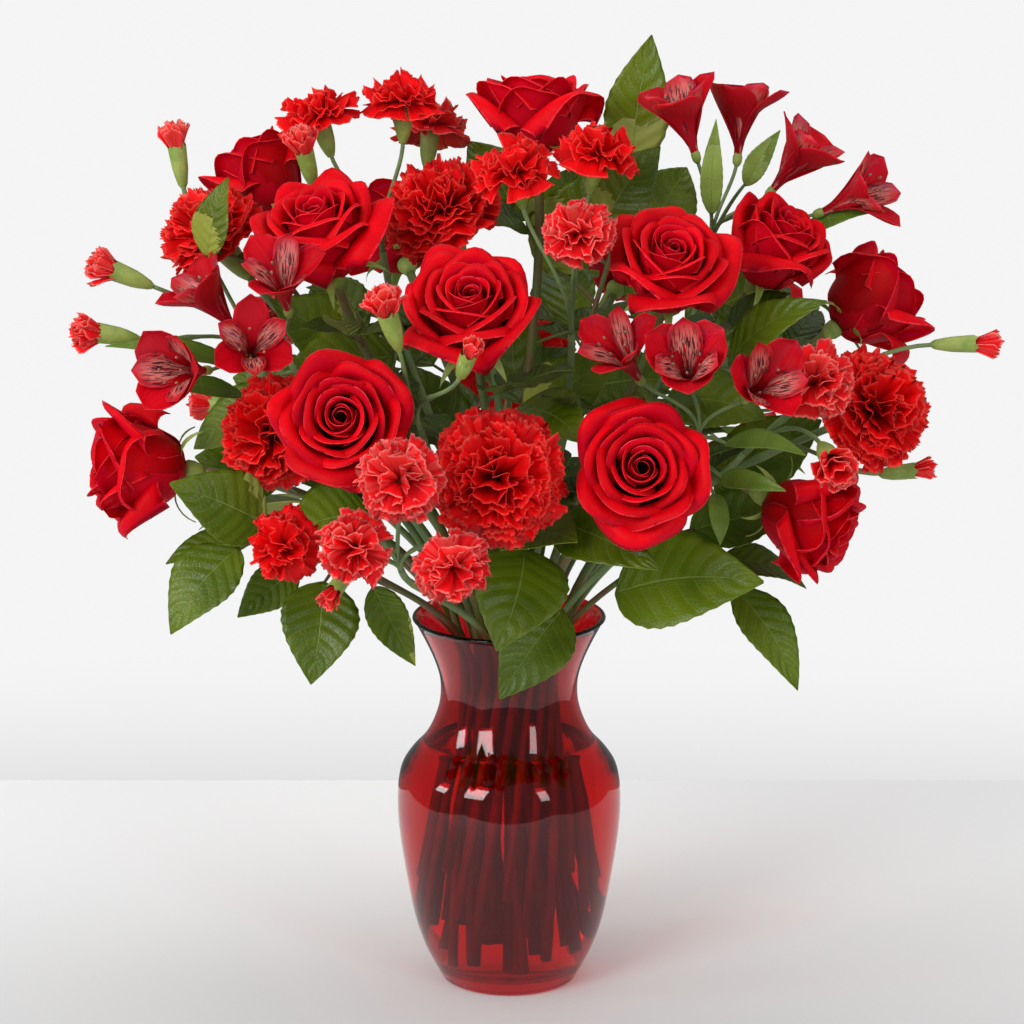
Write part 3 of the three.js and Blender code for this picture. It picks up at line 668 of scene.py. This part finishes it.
def add_calyx(piece, place, radii, height, tooth, sides=20):
    made = piece.sheet(toothed_cup(radii, height, 5, tooth), sides, 6, "calyx", 0.0, 0.5, place)
    bmesh.ops.remove_doubles(piece.bm, verts=made, dist=1e-6)


def add_frills(piece, finish, place, size, throat, count, grid, dice, skirt):
    """A carnation's petals: upright in the middle, level outside, over a broad skirt."""
    radius, height = size
    for i in range(count + skirt):
        share = math.sqrt((min(i, count - 1) + 0.5) / count)
        lean = math.radians(98) * share**1.15 + dice.uniform(-0.17, 0.17)
        length = (height - throat) * (1 - share) + radius * 1.08 * share
        length *= dice.uniform(0.86, 1.05)
        width = radius * (0.36 + 0.22 * share) * dice.uniform(0.8, 1.15)
        frill = radius * (0.135 - 0.055 * share) * dice.uniform(0.8, 1.3)
        if count < FULL_COUNT:
            frill *= 1.35
            length *= dice.uniform(0.86, 1.08)
        if i >= count:
            lean, length = math.radians(112) + dice.uniform(-0.1, 0.15), radius * 1.1
            width, frill = radius * 0.62, radius * 0.05
        waves = dice.uniform(1.0, 2.3)
        foot = (radius * 0.07 * share + 0.3, throat)
        turn = i * GOLDEN_TURN + dice.uniform(-0.4, 0.4)
        shape = frilled_petal(lean, length, width, foot, turn, dice, frill, waves)
        piece.sheet(shape, *grid, finish, 0.3, dice.uniform(0.1, 0.9), place)


def build_carnation(number):
    name = f"carnation_bloom_{number}"
    dice = np.random.default_rng(2000 + number)
    base, axis, radius, height = head_frame(name)
    place = Place(base, axis, dice.uniform(0, 6.28))
    piece = Piece("carnation", "calyx")
    add_calyx(piece, place, [2.6, 4.6, 5.6, 6.2, 6.8, 7.6], height * 0.44, 4)
    piece.bar([(0, 0, z) for z in (0, 3, 12, 24)], [2, 3, 4.8, 5.6], 12, "calyx", place=place)
    add_frills(piece, "carnation", place, (radius * 1.06, height), height * 0.4, 52, (22, 7),
               dice, 8)
    piece.done(f"carnation_flower_{number}", "carnation_petal", name)


# ------------------------------------------------------------------ sprays of small flowers
# Each small flower: kind, middle, facing, radius, height. A "red" one has no pale edge.
SPRAYS = [
    ((-128, 16, 330), (-0.35, 0.1, 0.9), [
        ("half", (-174, 30, 446), (-0.15, 0.1, 1), 9, 36),
        ("half", (-200, -26, 393), (-0.9, -0.1, 0.4), 11, 36),
        ("half", (-206, -50, 366), (-0.9, -0.3, 0.2), 11, 36)]),
    ((-66, 8, 398), (-0.15, 0, 1), [
        ("red", (-97, 4, 465), (-0.3, 0, 1), 19, 34),
        ("red", (-55, 10, 472), (0, 0, 1), 19, 34),
        ("half", (-104, -20, 452), (-0.2, -0.3, 0.9), 9, 36),
        ("open", (-42, 52, 452), (0.1, 0.3, 1), 19, 34)]),
    ((32, -50, 366), (0, -0.1, 1), [
        ("red", (4, -48, 446), (-0.2, -0.3, 1), 19, 34),
        ("red", (44, -36, 452), (0.2, -0.2, 1), 19, 34),
        ("open", (34, -92, 424), (0.05, -0.7, 0.8), 16, 34)]),
    ((-44, -104, 328), (-0.3, -0.2, 0.9), [
        ("half", (-58, -142, 392), (-0.25, -0.3, 0.9), 11, 36),
        ("bud", (-20, -158, 376), (0.3, -0.5, 0.9), 6.5, 26)]),
    ((-54, -112, 258), (-0.1, -0.75, 0.5), [
        ("open", (-52, -184, 322), (0, -0.85, 0.5), 19, 34),
        ("red", (-108, -148, 281), (-0.6, -0.8, 0.1), 17, 34),
        ("open", (-74, -178, 288), (-0.3, -0.95, 0), 16, 34),
        ("open", (-28, -176, 278), (0.35, -0.9, -0.2), 17, 34),
        ("bud", (-84, -158, 262), (-0.5, -0.7, -0.5), 6.5, 26)]),
    ((122, -36, 300), (0.6, -0.2, 0.7), [
        ("bud", (240, 2, 350), (1, 0.1, 0), 8, 38),
        ("bud", (208, -26, 288), (1, 0, 0.1), 6.5, 30),
        ("open", (152, -104, 352), (0.1, -0.8, 0.6), 17, 34),
        ("half", (160, -116, 316), (0.2, -0.9, -0.2), 14, 36)]),
    ((-88, 76, 288), (-0.5, 0.5, 0.7), [
        ("open", (-132, 104, 336), (-0.5, 0.6, 0.6), 19, 34),
        ("red", (-94, 136, 300), (-0.3, 0.9, 0.2), 19, 34),
        ("half", (-158, 78, 300), (-0.9, 0.4, 0.1), 11, 36)]),
]
STALK = 1.15
STEM_SIDES = 12


def foot_of(middle, facing, height):
    return np.array(middle, float) - unit(facing) * height / 2


def knotted(points, radius, every, swell):
    """Radii along a stem with a swollen joint now and then."""
    steps = np.linalg.norm(np.diff(points, axis=0), axis=1)
    run = np.concatenate([[0], np.cumsum(steps)])
    near = np.abs((run / every) % 1 - 0.5) * 2
    return radius * (1 + swell * np.clip(near * 8 - 7, 0, 1))


def small_bud(piece, place, radius, height, dice, petals):
    """A calyx with a tuft of furled petals standing in its mouth."""
    size = radius / 11
    add_calyx(piece, place, np.array([1.6, 3.6, 4.6, 5.0, 5.4]) * size**0.4, height * 0.58, 3, 15)
    piece.bar([(0, 0, z * height / 36) for z in (0, 2, 8, 17)], [1.3, 2.6, 3.8, 4.2], 10,
              "calyx", place=place)
    for i in range(petals):
        share = (i + 0.5) / petals
        lean = math.radians(30) * share * size + dice.uniform(-0.05, 0.05)
        foot = (1 + 1.5 * share, height * 0.36)
        shape = frilled_petal(lean, height * (0.64 - 0.08 * share), radius * 0.55, foot,
                              i * GOLDEN_TURN, dice, radius * 0.09, dice.uniform(0.8, 1.4))
        piece.sheet(shape, 10, 5, "spray", 0.3, dice.uniform(0.3, 0.9), place)


def build_spray(number, fork, way, flowers):
    node = f"spray_carnation_{number}"
    dice = np.random.default_rng(3000 + number)
    piece = Piece("spray", "carnation", "calyx", "pale_stem")
    route = stem_route(node, fork, way, 20)
    piece.bar(route, knotted(route, 1.8, 60, 0.35), STEM_SIDES, "pale_stem")
    for kind, middle, facing, radius, height in flowers:
        base = foot_of(middle, facing, height)
        stalk = bend(fork, way, base + unit(facing) * 2, facing, 12)
        piece.bar(stalk, knotted(stalk, STALK, 34, 0.45), 8, "pale_stem")
        place = Place(base, unit(facing), dice.uniform(0, 6.28))
        if kind in ("open", "red"):
            add_calyx(piece, place, [1.8, 3.8, 4.6, 4.9, 5.4], height * 0.56, 3, 15)
            piece.bar([(0, 0, z) for z in (0, 2, 8, 16)], [1.3, 2.8, 4, 4.4], 10, "calyx",
                      place=place)
            finish = "carnation" if kind == "red" else "spray"
            add_frills(piece, finish, place, (radius * 1.16, height), height * 0.46, 16,
                       (18, 6), dice, 5)
        else:
            small_bud(piece, place, radius, height, dice, 12 if kind == "half" else 6)
    piece.done(f"spray_carnation_plant_{number}", "spray_carnation", node)


# ------------------------------------------------------------------ alstroemeria
# Fork, direction, funnels (middle, facing, radius), narrow leaves (base, tip, face).
ALSTROEMERIAS = [
    ((-112, -52, 352), (-0.45, -0.2, 0.85), [
        ((-150, -54, 382), (-0.6, -0.15, 0.75), 17),
        ((-112, -98, 400), (-0.1, -0.6, 0.8), 17),
        ((-128, -98, 368), (0.1, -0.9, 0.4), 15),
        ((-162, -90, 356), (-0.5, -0.85, 0.2), 21)], [
        ((-136, -42, 346), (-204, -70, 364), (0, -0.7, 0.7)),
        ((-136, -36, 330), (-184, -62, 340), (0.2, -0.6, 0.7))]),
    ((106, 12, 404), (0.1, 0, 1), [
        ((92, 10, 466), (-0.3, -0.1, 1), 21),
        ((122, 34, 462), (0.1, 0.2, 1), 21),
        ((148, 10, 444), (0.6, -0.1, 0.8), 21),
        ((178, 8, 426), (0.8, -0.35, 0.45), 16)], [
        ((105, -6, 420), (106, -20, 472), (0, -1, 0.1)),
        ((122, -10, 436), (139, -18, 466), (0, -1, 0.2)),
        ((146, 22, 396), (196, 6, 420), (0, -0.6, 0.8))]),
    ((96, -76, 318), (0.1, -0.3, 0.95), [
        ((88, -126, 364), (-0.1, -0.8, 0.6), 21),
        ((124, -114, 352), (0.3, -0.85, 0.5), 18),
        ((58, -112, 366), (-0.4, -0.6, 0.7), 15)], [
        ((108, -92, 318), (148, -116, 318), (0, -0.7, 0.7)),
        ((106, -90, 300), (138, -116, 300), (0, -0.8, 0.6)),
        ((104, -88, 292), (106, -108, 270), (0.3, -0.9, 0.2))]),
    ((92, 84, 288), (0.5, 0.5, 0.7), [
        ((136, 108, 344), (0.4, 0.6, 0.7), 21),
        ((166, 78, 306), (0.9, 0.4, 0.3), 21),
        ((104, 140, 306), (0.2, 0.95, 0.25), 21),
        ((132, 122, 268), (0.6, 0.75, -0.2), 21)], [
        ((112, 66, 290), (160, 44, 270), (0.3, -0.5, 0.8)),
        ((84, 100, 284), (64, 146, 262), (0, 0.7, 0.7))]),
]
FUNNEL_HEIGHT = 42


def funnel_petal(turn, length, width, spread, dice, widest):
    """A spoon-shaped petal of alstroemeria, opening from a narrow throat."""
    lean = math.radians(spread) * dice.uniform(0.88, 1.12)
    cup = dice.uniform(0.25, 0.5)
    phase = dice.uniform(0, 6.28)

    def shape(u, v):
        blade_end = np.sqrt(np.clip(1 - ((v - widest) / (1 - widest)) ** 2, 0, 1))
        outline = np.where(v < widest, smooth(v / widest) ** 1.1, blade_end**0.8)
        half = width * np.maximum(0.13 * (1 - v), outline)
        angle = math.radians(8) + lean * smooth((v - 0.22) / 0.6) - 0.25 * lean * smooth(v * 2 - 1)
        out, up = walk(angle + 0 * u, np.full(u.shape[1], length))
        lift = half * (cup * u**2 + 0.06 * np.sin(3 * u + 6 * v + phase))
        out = out - np.cos(angle) * lift
        up = up + np.sin(angle) * lift
        return around(out + 1.2, -u * half, up, turn)

    return shape


def build_funnel(piece, place, radius, height, dice):
    for i in range(6):
        inner = i % 2
        finish = "streaked" if inner else "alstroemeria"
        length = height * (1.1 if inner else 1.14)
        width = radius * (0.42 if inner else 0.62)
        shape = funnel_petal(i * math.pi / 3, length, width, 36 if inner else 50, dice,
                             0.74 if inner else 0.7)
        piece.sheet(shape, 8, 12, finish, 0.35, dice.uniform(0.3, 0.8), place)
    piece.bar([(0, 0, z) for z in (-2, 0, 3, 6)], [1.2, 2.4, 2.6, 1.6], 10, "calyx", place=place)
    for i in range(6):
        turn = i * math.pi / 3 + dice.uniform(-0.2, 0.2)
        reach = height * dice.uniform(0.62, 0.8)
        t = np.linspace(0, 1, 7)[:, None]
        out = 1.2 + 6 * t**2
        points = np.hstack([out * math.cos(turn), out * math.sin(turn), 4 + reach * t])
        piece.bar(points, 0.35, 5, "alstroemeria", place=place)
        tip = points[-1]
        anther = [tip, tip + (0, 0, 0.8), tip + (0, 0, 1.8), tip + (0, 0, 2.4)]
        piece.bar(anther, [0.4, 0.75, 0.7, 0.3], 6, "anther", place=place)


def blade(base, tip, width, face, arch, dice, pointed=0.75, fold=0.35):
    """A leaf from base to tip, arched along its length and folded a little at its midrib."""
    base, tip = np.array(base, float), np.array(tip, float)
    length = np.linalg.norm(tip - base)
    along = (tip - base) / length
    side = np.cross(along, unit(face))
    side /= np.linalg.norm(side)
    normal = np.cross(side, along)
    phase, wave = dice.uniform(0, 6.28), dice.uniform(0.5, 1.2)
    sweep = dice.uniform(-0.06, 0.06)

    def shape(u, v):
        outline = np.sin(np.pi * v**pointed) ** 0.85 * (1 - 0.18 * v**3)
        teeth = 1 + 0.018 * np.where(np.arange(v.shape[0])[:, None] % 2 == 0, 1, -1) * (v < 0.97)
        half = width / 2 * np.maximum(outline, 0.02) * np.where(np.abs(u) > 0.99, teeth, 1)
        lift = 4 * arch * length * v * (1 - v) + fold * width / 2 * outline * np.abs(u) ** 1.3 * 0.5
        lift = lift + wave * u**2 * np.sin(9 * v + phase + 1.5 * np.sign(u)) * outline
        bow = sweep * length * np.sin(np.pi * v)
        spots = base + along * (v * length)[..., None] + side * (u * half + bow)[..., None]
        return spots + normal * lift[..., None]

    return shape


def build_alstroemeria(number, fork, way, funnels, leaves):
    node = f"alstroemeria_{number}"
    dice = np.random.default_rng(4000 + number)
    piece = Piece("alstroemeria", "streaked", "calyx", "pale_stem", "anther", "lance")
    route = stem_route(node, fork, way, 20)
    piece.bar(route, 1.8, STEM_SIDES, "pale_stem")
    for middle, facing, radius in funnels:
        base = foot_of(middle, facing, FUNNEL_HEIGHT)
        piece.bar(bend(fork, way, base + unit(facing) * 2, facing, 10), 1.0, 8, "pale_stem")
        place = Place(base, unit(facing), dice.uniform(0, 6.28))
        build_funnel(piece, place, radius, FUNNEL_HEIGHT, dice)
    for base, tip, face in leaves:
        add_leaf(piece, base, tip, 12, face, 0.12, route, "lance", "pale_stem", dice, 0.8)
    piece.done(f"alstroemeria_plant_{number}", "alstroemeria", node)


# ------------------------------------------------------------------ greenery
# End of the branch, then its leaves: base, tip, width, face and, if unusual, arch.
BRANCHES = [
    ((2, -72, 262), [
        ((8, -84, 262), (-6, -122, 219), 50, (0, -0.9, 0.45), 0.12),
        ((28, -72, 226), (-5, -100, 187), 38, (0.25, -0.8, 0.5)),
        ((24, -92, 278), (74, -140, 266), 34, (-0.3, -0.7, 0.7)),
        ((6, -86, 266), (34, -132, 278), 42, (0.1, -0.8, 0.8))]),
    ((-82, -78, 256), [
        ((-94, -104, 250), (-99, -130, 204), 40, (0, -0.95, 0.35)),
        ((-108, -80, 250), (-138, -92, 228), 24, (-0.3, -0.9, 0.3)),
        ((-70, -70, 238), (-48, -84, 200), 22, (-0.2, -0.9, 0.4)),
        ((-70, -72, 276), (-114, -90, 270), 42, (-0.1, -0.8, 0.6))]),
    ((-118, -86, 270), [
        ((-122, -106, 280), (-168, -124, 306), 38, (-0.2, -0.8, 0.5)),
        ((-136, -98, 266), (-170, -116, 226), 36, (-0.45, -0.85, 0.25)),
        ((-132, -70, 262), (-176, -70, 250), 22, (-0.2, -0.5, 0.8))]),
    ((80, -56, 256), [
        ((54, -84, 238), (128, -112, 252), 52, (0.15, -0.85, 0.5), 0.08),
        ((116, -66, 236), (148, -88, 188), 28, (0.4, -0.85, 0.3)),
        ((110, -40, 244), (156, -30, 226), 24, (0.3, -0.4, 0.85)),
        ((94, -34, 258), (150, -24, 272), 32, (0.5, -0.8, 0.7))]),
    ((64, 16, 436), [
        ((64, 38, 438), (75, 44, 507), 35, (0.1, -1, 0.15), 0.06),
        ((56, 10, 414), (47, 6, 460), 32, (0.3, -0.95, 0.2)),
        ((84, 20, 400), (84, 66, 424), 30, (0.2, -0.3, 0.9)),
        ((10, -16, 308), (60, -24, 352), 36, (0.1, -0.8, 0.5)),
        ((20, 44, 380), (50, 38, 440), 42, (0.1, -0.8, 0.7)),
        ((72, 8, 406), (94, 36, 438), 36, (0.3, -0.8, 0.4)),
        ((6, 64, 406), (-22, 76, 446), 38, (0, -0.7, 0.5)),
        ((14, 50, 398), (42, 60, 438), 32, (0.2, -0.7, 0.6)),
        ((34, 38, 352), (22, 86, 384), 32, (0, -0.5, 0.7)),
        ((38, 24, 320), (90, 30, 324), 40, (0.3, -0.6, 0.5)),
        ((4, -52, 328), (38, -90, 318), 38, (0.2, -0.8, 0.8)),
        ((48, -10, 412), (78, -8, 456), 34, (0.3, -0.8, 0.8)),
        ((14, 30, 266), (38, 78, 268), 38, (0.2, -0.1, 0.4)),
        ((68, 48, 352), (104, 80, 386), 38, (0.2, -0.3, 0.5))]),
    ((-112, 24, 372), [
        ((-154, -40, 404), (-142, -44, 446), 21, (-0.3, -0.85, 0.45)),
        ((-118, 46, 374), (-176, 66, 382), 30, (-0.2, 0.2, 0.95)),
        ((-80, 2, 350), (-124, -10, 376), 38, (-0.2, -0.8, 0.5)),
        ((-20, 20, 292), (-58, 48, 330), 30, (-0.4, -0.2, 0.7)),
        ((-120, -2, 324), (-168, 18, 290), 32, (-0.5, -0.8, 0.6)),
        ((-60, -2, 344), (-118, -28, 340), 42, (-0.4, -0.8, 0.4)),
        ((-80, 40, 344), (-104, 70, 374), 38, (-0.3, -0.3, 0.5)),
        ((-104, 24, 312), (-148, 40, 324), 38, (-0.5, -0.8, 0.6)),
        ((-28, 30, 288), (-46, 88, 310), 38, (0, -0.7, 0.7)),
        ((-72, 52, 294), (-108, 60, 260), 34, (-0.5, 0.1, 0.7)),
        ((-20, 20, 352), (-42, 40, 392), 40, (0.1, 0, 0.5))]),
    ((134, 16, 330), [
        ((112, -50, 350), (160, -74, 388), 26, (-0.2, -0.7, 0.7)),
        ((148, 20, 318), (206, 36, 300), 36, (0.2, -0.2, 0.95)),
        ((140, 44, 330), (170, 92, 352), 32, (0.2, 0.3, 0.9)),
        ((110, 2, 274), (166, 16, 306), 40, (0.4, -0.8, 0.5)),
        ((82, -14, 324), (134, -22, 316), 36, (0.2, -0.8, 0.6)),
        ((110, 30, 264), (158, 20, 286), 32, (0.3, -0.8, 0.6)),
        ((68, 60, 310), (72, 126, 312), 38, (0.1, -0.6, 0.8)),
        ((94, 20, 354), (142, 38, 378), 38, (0.2, -0.8, 0.4)),
        ((56, 20, 270), (108, 64, 270), 32, (0.3, -0.2, 0.6)),
        ((90, 42, 314), (124, 90, 338), 42, (0.1, -0.5, 0.6))]),
    ((10, 92, 270), [
        ((22, 100, 262), (44, 140, 216), 40, (0.2, 0.9, 0.4)),
        ((-12, 100, 258), (-34, 142, 212), 42, (-0.2, 0.9, 0.4)),
        ((6, 84, 300), (4, 134, 360), 36, (0, 0.8, 0.5)),
        ((-42, 88, 320), (-68, 124, 338), 34, (0, -0.6, 0.6)),
        ((-30, 84, 286), (-70, 114, 274), 44, (-0.2, -0.3, 0.5))]),
    ((-96, 62, 252), [
        ((-104, 70, 250), (-142, 108, 222), 38, (-0.5, 0.6, 0.6)),
        ((-108, 48, 252), (-168, 38, 240), 34, (-0.3, 0.1, 0.95)),
        ((-78, 76, 240), (-84, 122, 206), 34, (-0.2, 0.8, 0.5)),
        ((-118, 28, 276), (-168, 24, 284), 38, (-0.3, -0.8, 0.4))]),
]
USUAL_ARCH = 0.1
RIM_HEIGHT = 203.2
STALK_CLEAR = 12  # leaf stalks start at least this far above the rim


def add_leaf(piece, base, tip, width, face, arch, route, finish, stalk_finish, dice, pointed=0.75):
    base, tip = np.array(base, float), np.array(tip, float)
    shape = blade(base, tip, width, face, arch, dice, pointed)
    piece.sheet(shape, 10, 22, finish, 0.45, dice.uniform(0.2, 0.8))
    above = route[route[:, 2] > RIM_HEIGHT + STALK_CLEAR]
    start = above[np.argmin(np.linalg.norm(above - base, axis=1))]
    inside = base + unit(tip - base) * 3
    rise = np.linalg.norm(inside - start)
    sag = (start + inside) / 2 + np.array([0, 0, 0.12 * rise])
    t = np.linspace(0, 1, 9)[:, None]
    points = start * (1 - t) ** 2 + 2 * sag * t * (1 - t) + inside * t**2
    piece.bar(points, np.linspace(1.2, 0.8, 9), 8, stalk_finish)


def build_branch(number, end, leaves):
    node = f"leaf_branch_{number}"
    dice = np.random.default_rng(5000 + number)
    piece = Piece("salal", "woody")
    way = np.array([end[0], end[1], end[2] - NECK_HEIGHT], float)
    route = stem_route(node, end, way, 24)
    piece.bar(route, np.linspace(2.1, 1.3, len(route)), STEM_SIDES, "woody")
    for base, tip, width, face, *arch in leaves:
        arch = arch[0] if arch else USUAL_ARCH
        add_leaf(piece, base, tip, width, face, arch, route, "salal", "woody", dice)
    piece.done(f"salal_branch_{number}", "leaf", node)


# ------------------------------------------------------------------ flower stems
def add_rose_leaf(piece, start, way, dice):
    """A compound leaf of three or five leaflets on one stalk."""
    way = unit(way)
    side = unit(np.cross(way, (0, 0, 1)))
    reach = dice.uniform(34, 46)
    t = np.linspace(0, 1, 7)[:, None]
    stalk = start + way * reach * t + np.array([0, 0, 1.0]) * 6 * t * (1 - t)
    piece.bar(stalk, np.linspace(0.9, 0.5, 7), 6, "rose_stem")
    for step, lean in ((6, 0), (4, 1), (4, -1), (2, 1), (2, -1))[:5 if reach > 40 else 3]:
        base = stalk[step]
        heading = unit(way * (1.0 if lean == 0 else 0.55) + side * lean + (0, 0, 0.1))
        length = dice.uniform(24, 34) * (1.15 if lean == 0 else 0.9)
        face = (dice.uniform(-0.3, 0.3), -0.25, 1)
        shape = blade(base, base + heading * length, length * 0.62, face, 0.1, dice, 0.85)
        piece.sheet(shape, 8, 14, "rose_leaf", 0.4, dice.uniform(0.1, 0.9))


def build_stem(kind, number, radius, finish):
    node = f"{kind}_stem_{number}"
    base, axis, _, _ = head_frame(f"{kind}_bloom_{number}")
    route = stem_route(node, base + axis * 1.5, axis, 20)
    piece = Piece(finish, "rose_leaf")
    swell = (60, 0.3) if kind == "carnation" else (75, 0.08)
    piece.bar(route, knotted(route, radius, *swell), STEM_SIDES, finish)
    if kind == "rose":
        dice = np.random.default_rng(6000 + number)
        out = unit((base[0], base[1], 1))
        high = base[2]
        turn = math.atan2(out[1], out[0])
        for share in (0.3, 0.6, 0.85):
            level = RIM_HEIGHT + 14 + share * (high - RIM_HEIGHT - 20)
            start = route[np.argmin(np.abs(route[:, 2] - level))]
            turn += GOLDEN_TURN
            add_rose_leaf(piece, start, (math.cos(turn), math.sin(turn), 0.35), dice)
    piece.done(f"{kind}_stalk_{number}", "green_stem", node)


# ------------------------------------------------------------------ vase and water
def vase_outline():
    """The outside and inside of the glass as (radius, height), from the frame's vase."""
    points = unique_points("vase")
    rings = sorted({(round(float(np.hypot(x, y)), 1), round(float(z), 1)) for x, y, z in points})
    outside, inside = {}, {}
    for radius, height in rings:
        if radius > 1:
            outside[height] = max(radius, outside.get(height, 0))
    for radius, height in rings:
        if radius > 1 and (height not in inside or radius < inside[height]):
            inside[height] = radius
    inside = {z: r for z, r in inside.items() if r < outside[z] - 1 or z == VASE_FLOOR}
    return sorted((z, r) for z, r in outside.items() if z != VASE_FLOOR), sorted(
        (z, r) for z, r in inside.items())


def smooth_line(points, samples):
    """A smooth curve through (height, radius) points, given as (radius, height)."""
    points = np.array(points, float)
    ends = np.vstack([2 * points[0] - points[1], points, 2 * points[-1] - points[-2]])
    line = []
    for a, b, c, d in zip(ends, ends[1:], ends[2:], ends[3:]):
        for t in np.linspace(0, 1, samples, endpoint=False):
            line.append(0.5 * (2 * b + (c - a) * t + (2 * a - 5 * b + 4 * c - d) * t**2
                               + (3 * b - a - 3 * c + d) * t**3))
    line.append(points[-1])
    return [(r, z) for z, r in line]


def lathe(profile, sides, finish):
    piece = Piece(finish)
    profile = np.array(profile, float)

    def shape(u, v):
        turn = np.pi * u
        radius, height = profile[:, 0][:, None], profile[:, 1][:, None]
        return np.stack([radius * np.cos(turn), radius * np.sin(turn), height + 0 * u], axis=-1)

    made = piece.sheet(shape, sides, len(profile) - 1, finish)
    bmesh.ops.remove_doubles(piece.bm, verts=made, dist=1e-7)
    return piece


def build_vase():
    outside, inside = vase_outline()
    outer = smooth_line(outside, 6)
    inner = smooth_line(inside, 6)[::-1]
    top = outside[-1][0]
    lip = (outer[-1][0] + inner[0][0]) / 2
    wall = (outer[-1][0] - inner[0][0]) / 2
    rim = [(lip + wall * math.cos(a), top - wall + wall * math.sin(a))
           for a in np.linspace(0.1, math.pi - 0.1, 7)]
    outer = [(r, z) for r, z in outer if 2 < z < top - wall]
    inner = [(r, z) for r, z in inner if 12 < z < top - wall]
    foot = [(0, 1.6), (20, 1.5), (30, 0.9), (33.5, 0.1), (35.6, 0.1), (37, 0.9)]
    floor = [(inner[-1][0] - 3.5, 9.2), (inner[-1][0] - 8, 8.3), (18, 8), (0, 8)]
    piece = lathe([*foot, *outer, *rim, *inner, *floor], 128, "glass")
    piece.done("glass_vase", "red_glass", "vase")
    return inner


def build_water(inner):
    """Water fills the glass to its level and creeps a little up the wall."""
    bite = 0.12
    wall = [(r + bite, z) for r, z in inner[::-1] if z < WATER_LEVEL - 1]
    edge = np.interp(WATER_LEVEL, [z for r, z in inner[::-1]], [r for r, z in inner[::-1]]) + bite
    floor = [(0, 7.8), (18, 7.8), (wall[0][0] - 8, 8.1), (wall[0][0] - 3.5, 9)]
    creep = [(edge, WATER_LEVEL + 1.2), (edge - 0.6, WATER_LEVEL + 0.5),
             (edge - 2, WATER_LEVEL), (0, WATER_LEVEL)]
    lathe([*floor, *wall, *creep], 96, "water").done("vase_water", "water", "water")


# ------------------------------------------------------------------ stage, light and camera
FLOOR_HALF = 0.56
FLOOR_BACK = 0.332
BACKDROP_HIGH, BACKDROP_LOW = -0.28, -0.34  # slopes of view between which it darkens


def build_stage():
    mesh = bpy.data.meshes.new("floor")
    bm = bmesh.new()
    bmesh.ops.create_grid(bm, x_segments=1, y_segments=1, size=FLOOR_HALF)
    for vert in bm.verts:
        vert.co.y = min(vert.co.y, FLOOR_BACK)
    bm.to_mesh(mesh)
    bm.free()
    floor = add_object("floor", mesh)
    floor.location.z = -0.0002
    mesh.materials.append(looks["floor"])


def add_light(name, place, target, size, power, colour=(1, 1, 1)):
    data = bpy.data.lights.new(name, "AREA")
    data.shape = "RECTANGLE"
    data.size, data.size_y = size
    data.energy = power
    data.color = colour
    light = add_object(name, data)
    light.location = place
    aim = Vector(target) - Vector(place)
    light.rotation_euler = aim.to_track_quat("-Z", "Y").to_euler()


def build_light():
    world = bpy.data.worlds.new("studio")
    world.use_nodes = True
    tree = world.node_tree
    path = put(tree, "ShaderNodeLightPath").outputs
    seen = maths(tree, "ADD", path["Is Camera Ray"], path["Is Transmission Ray"])
    dim = maths(tree, "MULTIPLY_ADD", path["Is Glossy Ray"], -0.5, 0.72)
    strength = maths(tree, "MULTIPLY_ADD", seen, 0.19, dim)
    way = put(tree, "ShaderNodeTexCoord").outputs["Generated"]
    rise = put(tree, "ShaderNodeSeparateXYZ", {0: way}).outputs[2]
    low = ramp(tree, rise, BACKDROP_HIGH, BACKDROP_LOW)
    strength = times(tree, strength, maths(tree, "MULTIPLY_ADD", low, -0.25, 1.0))
    sky = tree.nodes["Background"]
    sky.inputs[0].default_value = rgb(1.0, 1.0, 1.0)
    tree.links.new(strength, sky.inputs[1])
    bpy.context.scene.world = world
    add_light("key", (-1.3, -1.7, 1.35), (0, 0, 0.25), (0.9, 1.2), 30)
    add_light("strip", (1.35, -1.75, 1.15), (0, 0, 0.25), (0.4, 1.2), 9)
    add_light("side", (-2.2, -0.5, 0.95), (0, 0, 0.2), (0.5, 0.6), 9)
    add_light("top", (0.3, 0.7, 2.1), (0, 0, 0.3), (1.2, 1.2), 6)


def build_camera():
    tilt = math.radians(14.3)
    distance = 2.0
    aim = Vector((0.0016, 0, 0.2595))
    data = bpy.data.cameras.new("camera")
    data.lens = 132.6
    data.sensor_width = 36
    data.clip_end = 50
    camera = add_object("camera", data)
    camera.location = aim + Vector((0, -math.cos(tilt), math.sin(tilt))) * distance
    camera.rotation_euler = (math.pi / 2 - tilt, 0, 0)
    bpy.context.scene.camera = camera
    bpy.context.scene.view_settings.view_transform = "Standard"


# ------------------------------------------------------------------ the whole bouquet
build_camera()
build_light()
build_stage()
inner_wall = build_vase()
build_water(inner_wall)
for rose_number in range(1, 14):
    build_rose(rose_number)
    build_stem("rose", rose_number, ROSE_STEM, "rose_stem")
for carnation_number in range(1, 7):
    build_carnation(carnation_number)
    build_stem("carnation", carnation_number, CARNATION_STEM, "pale_stem")
for spray_number, spray in enumerate(SPRAYS, 1):
    build_spray(spray_number, *spray)
for plant_number, plant in enumerate(ALSTROEMERIAS, 1):
    build_alstroemeria(plant_number, *plant)
for branch_number, branch in enumerate(BRANCHES, 1):
    build_branch(branch_number, *branch)
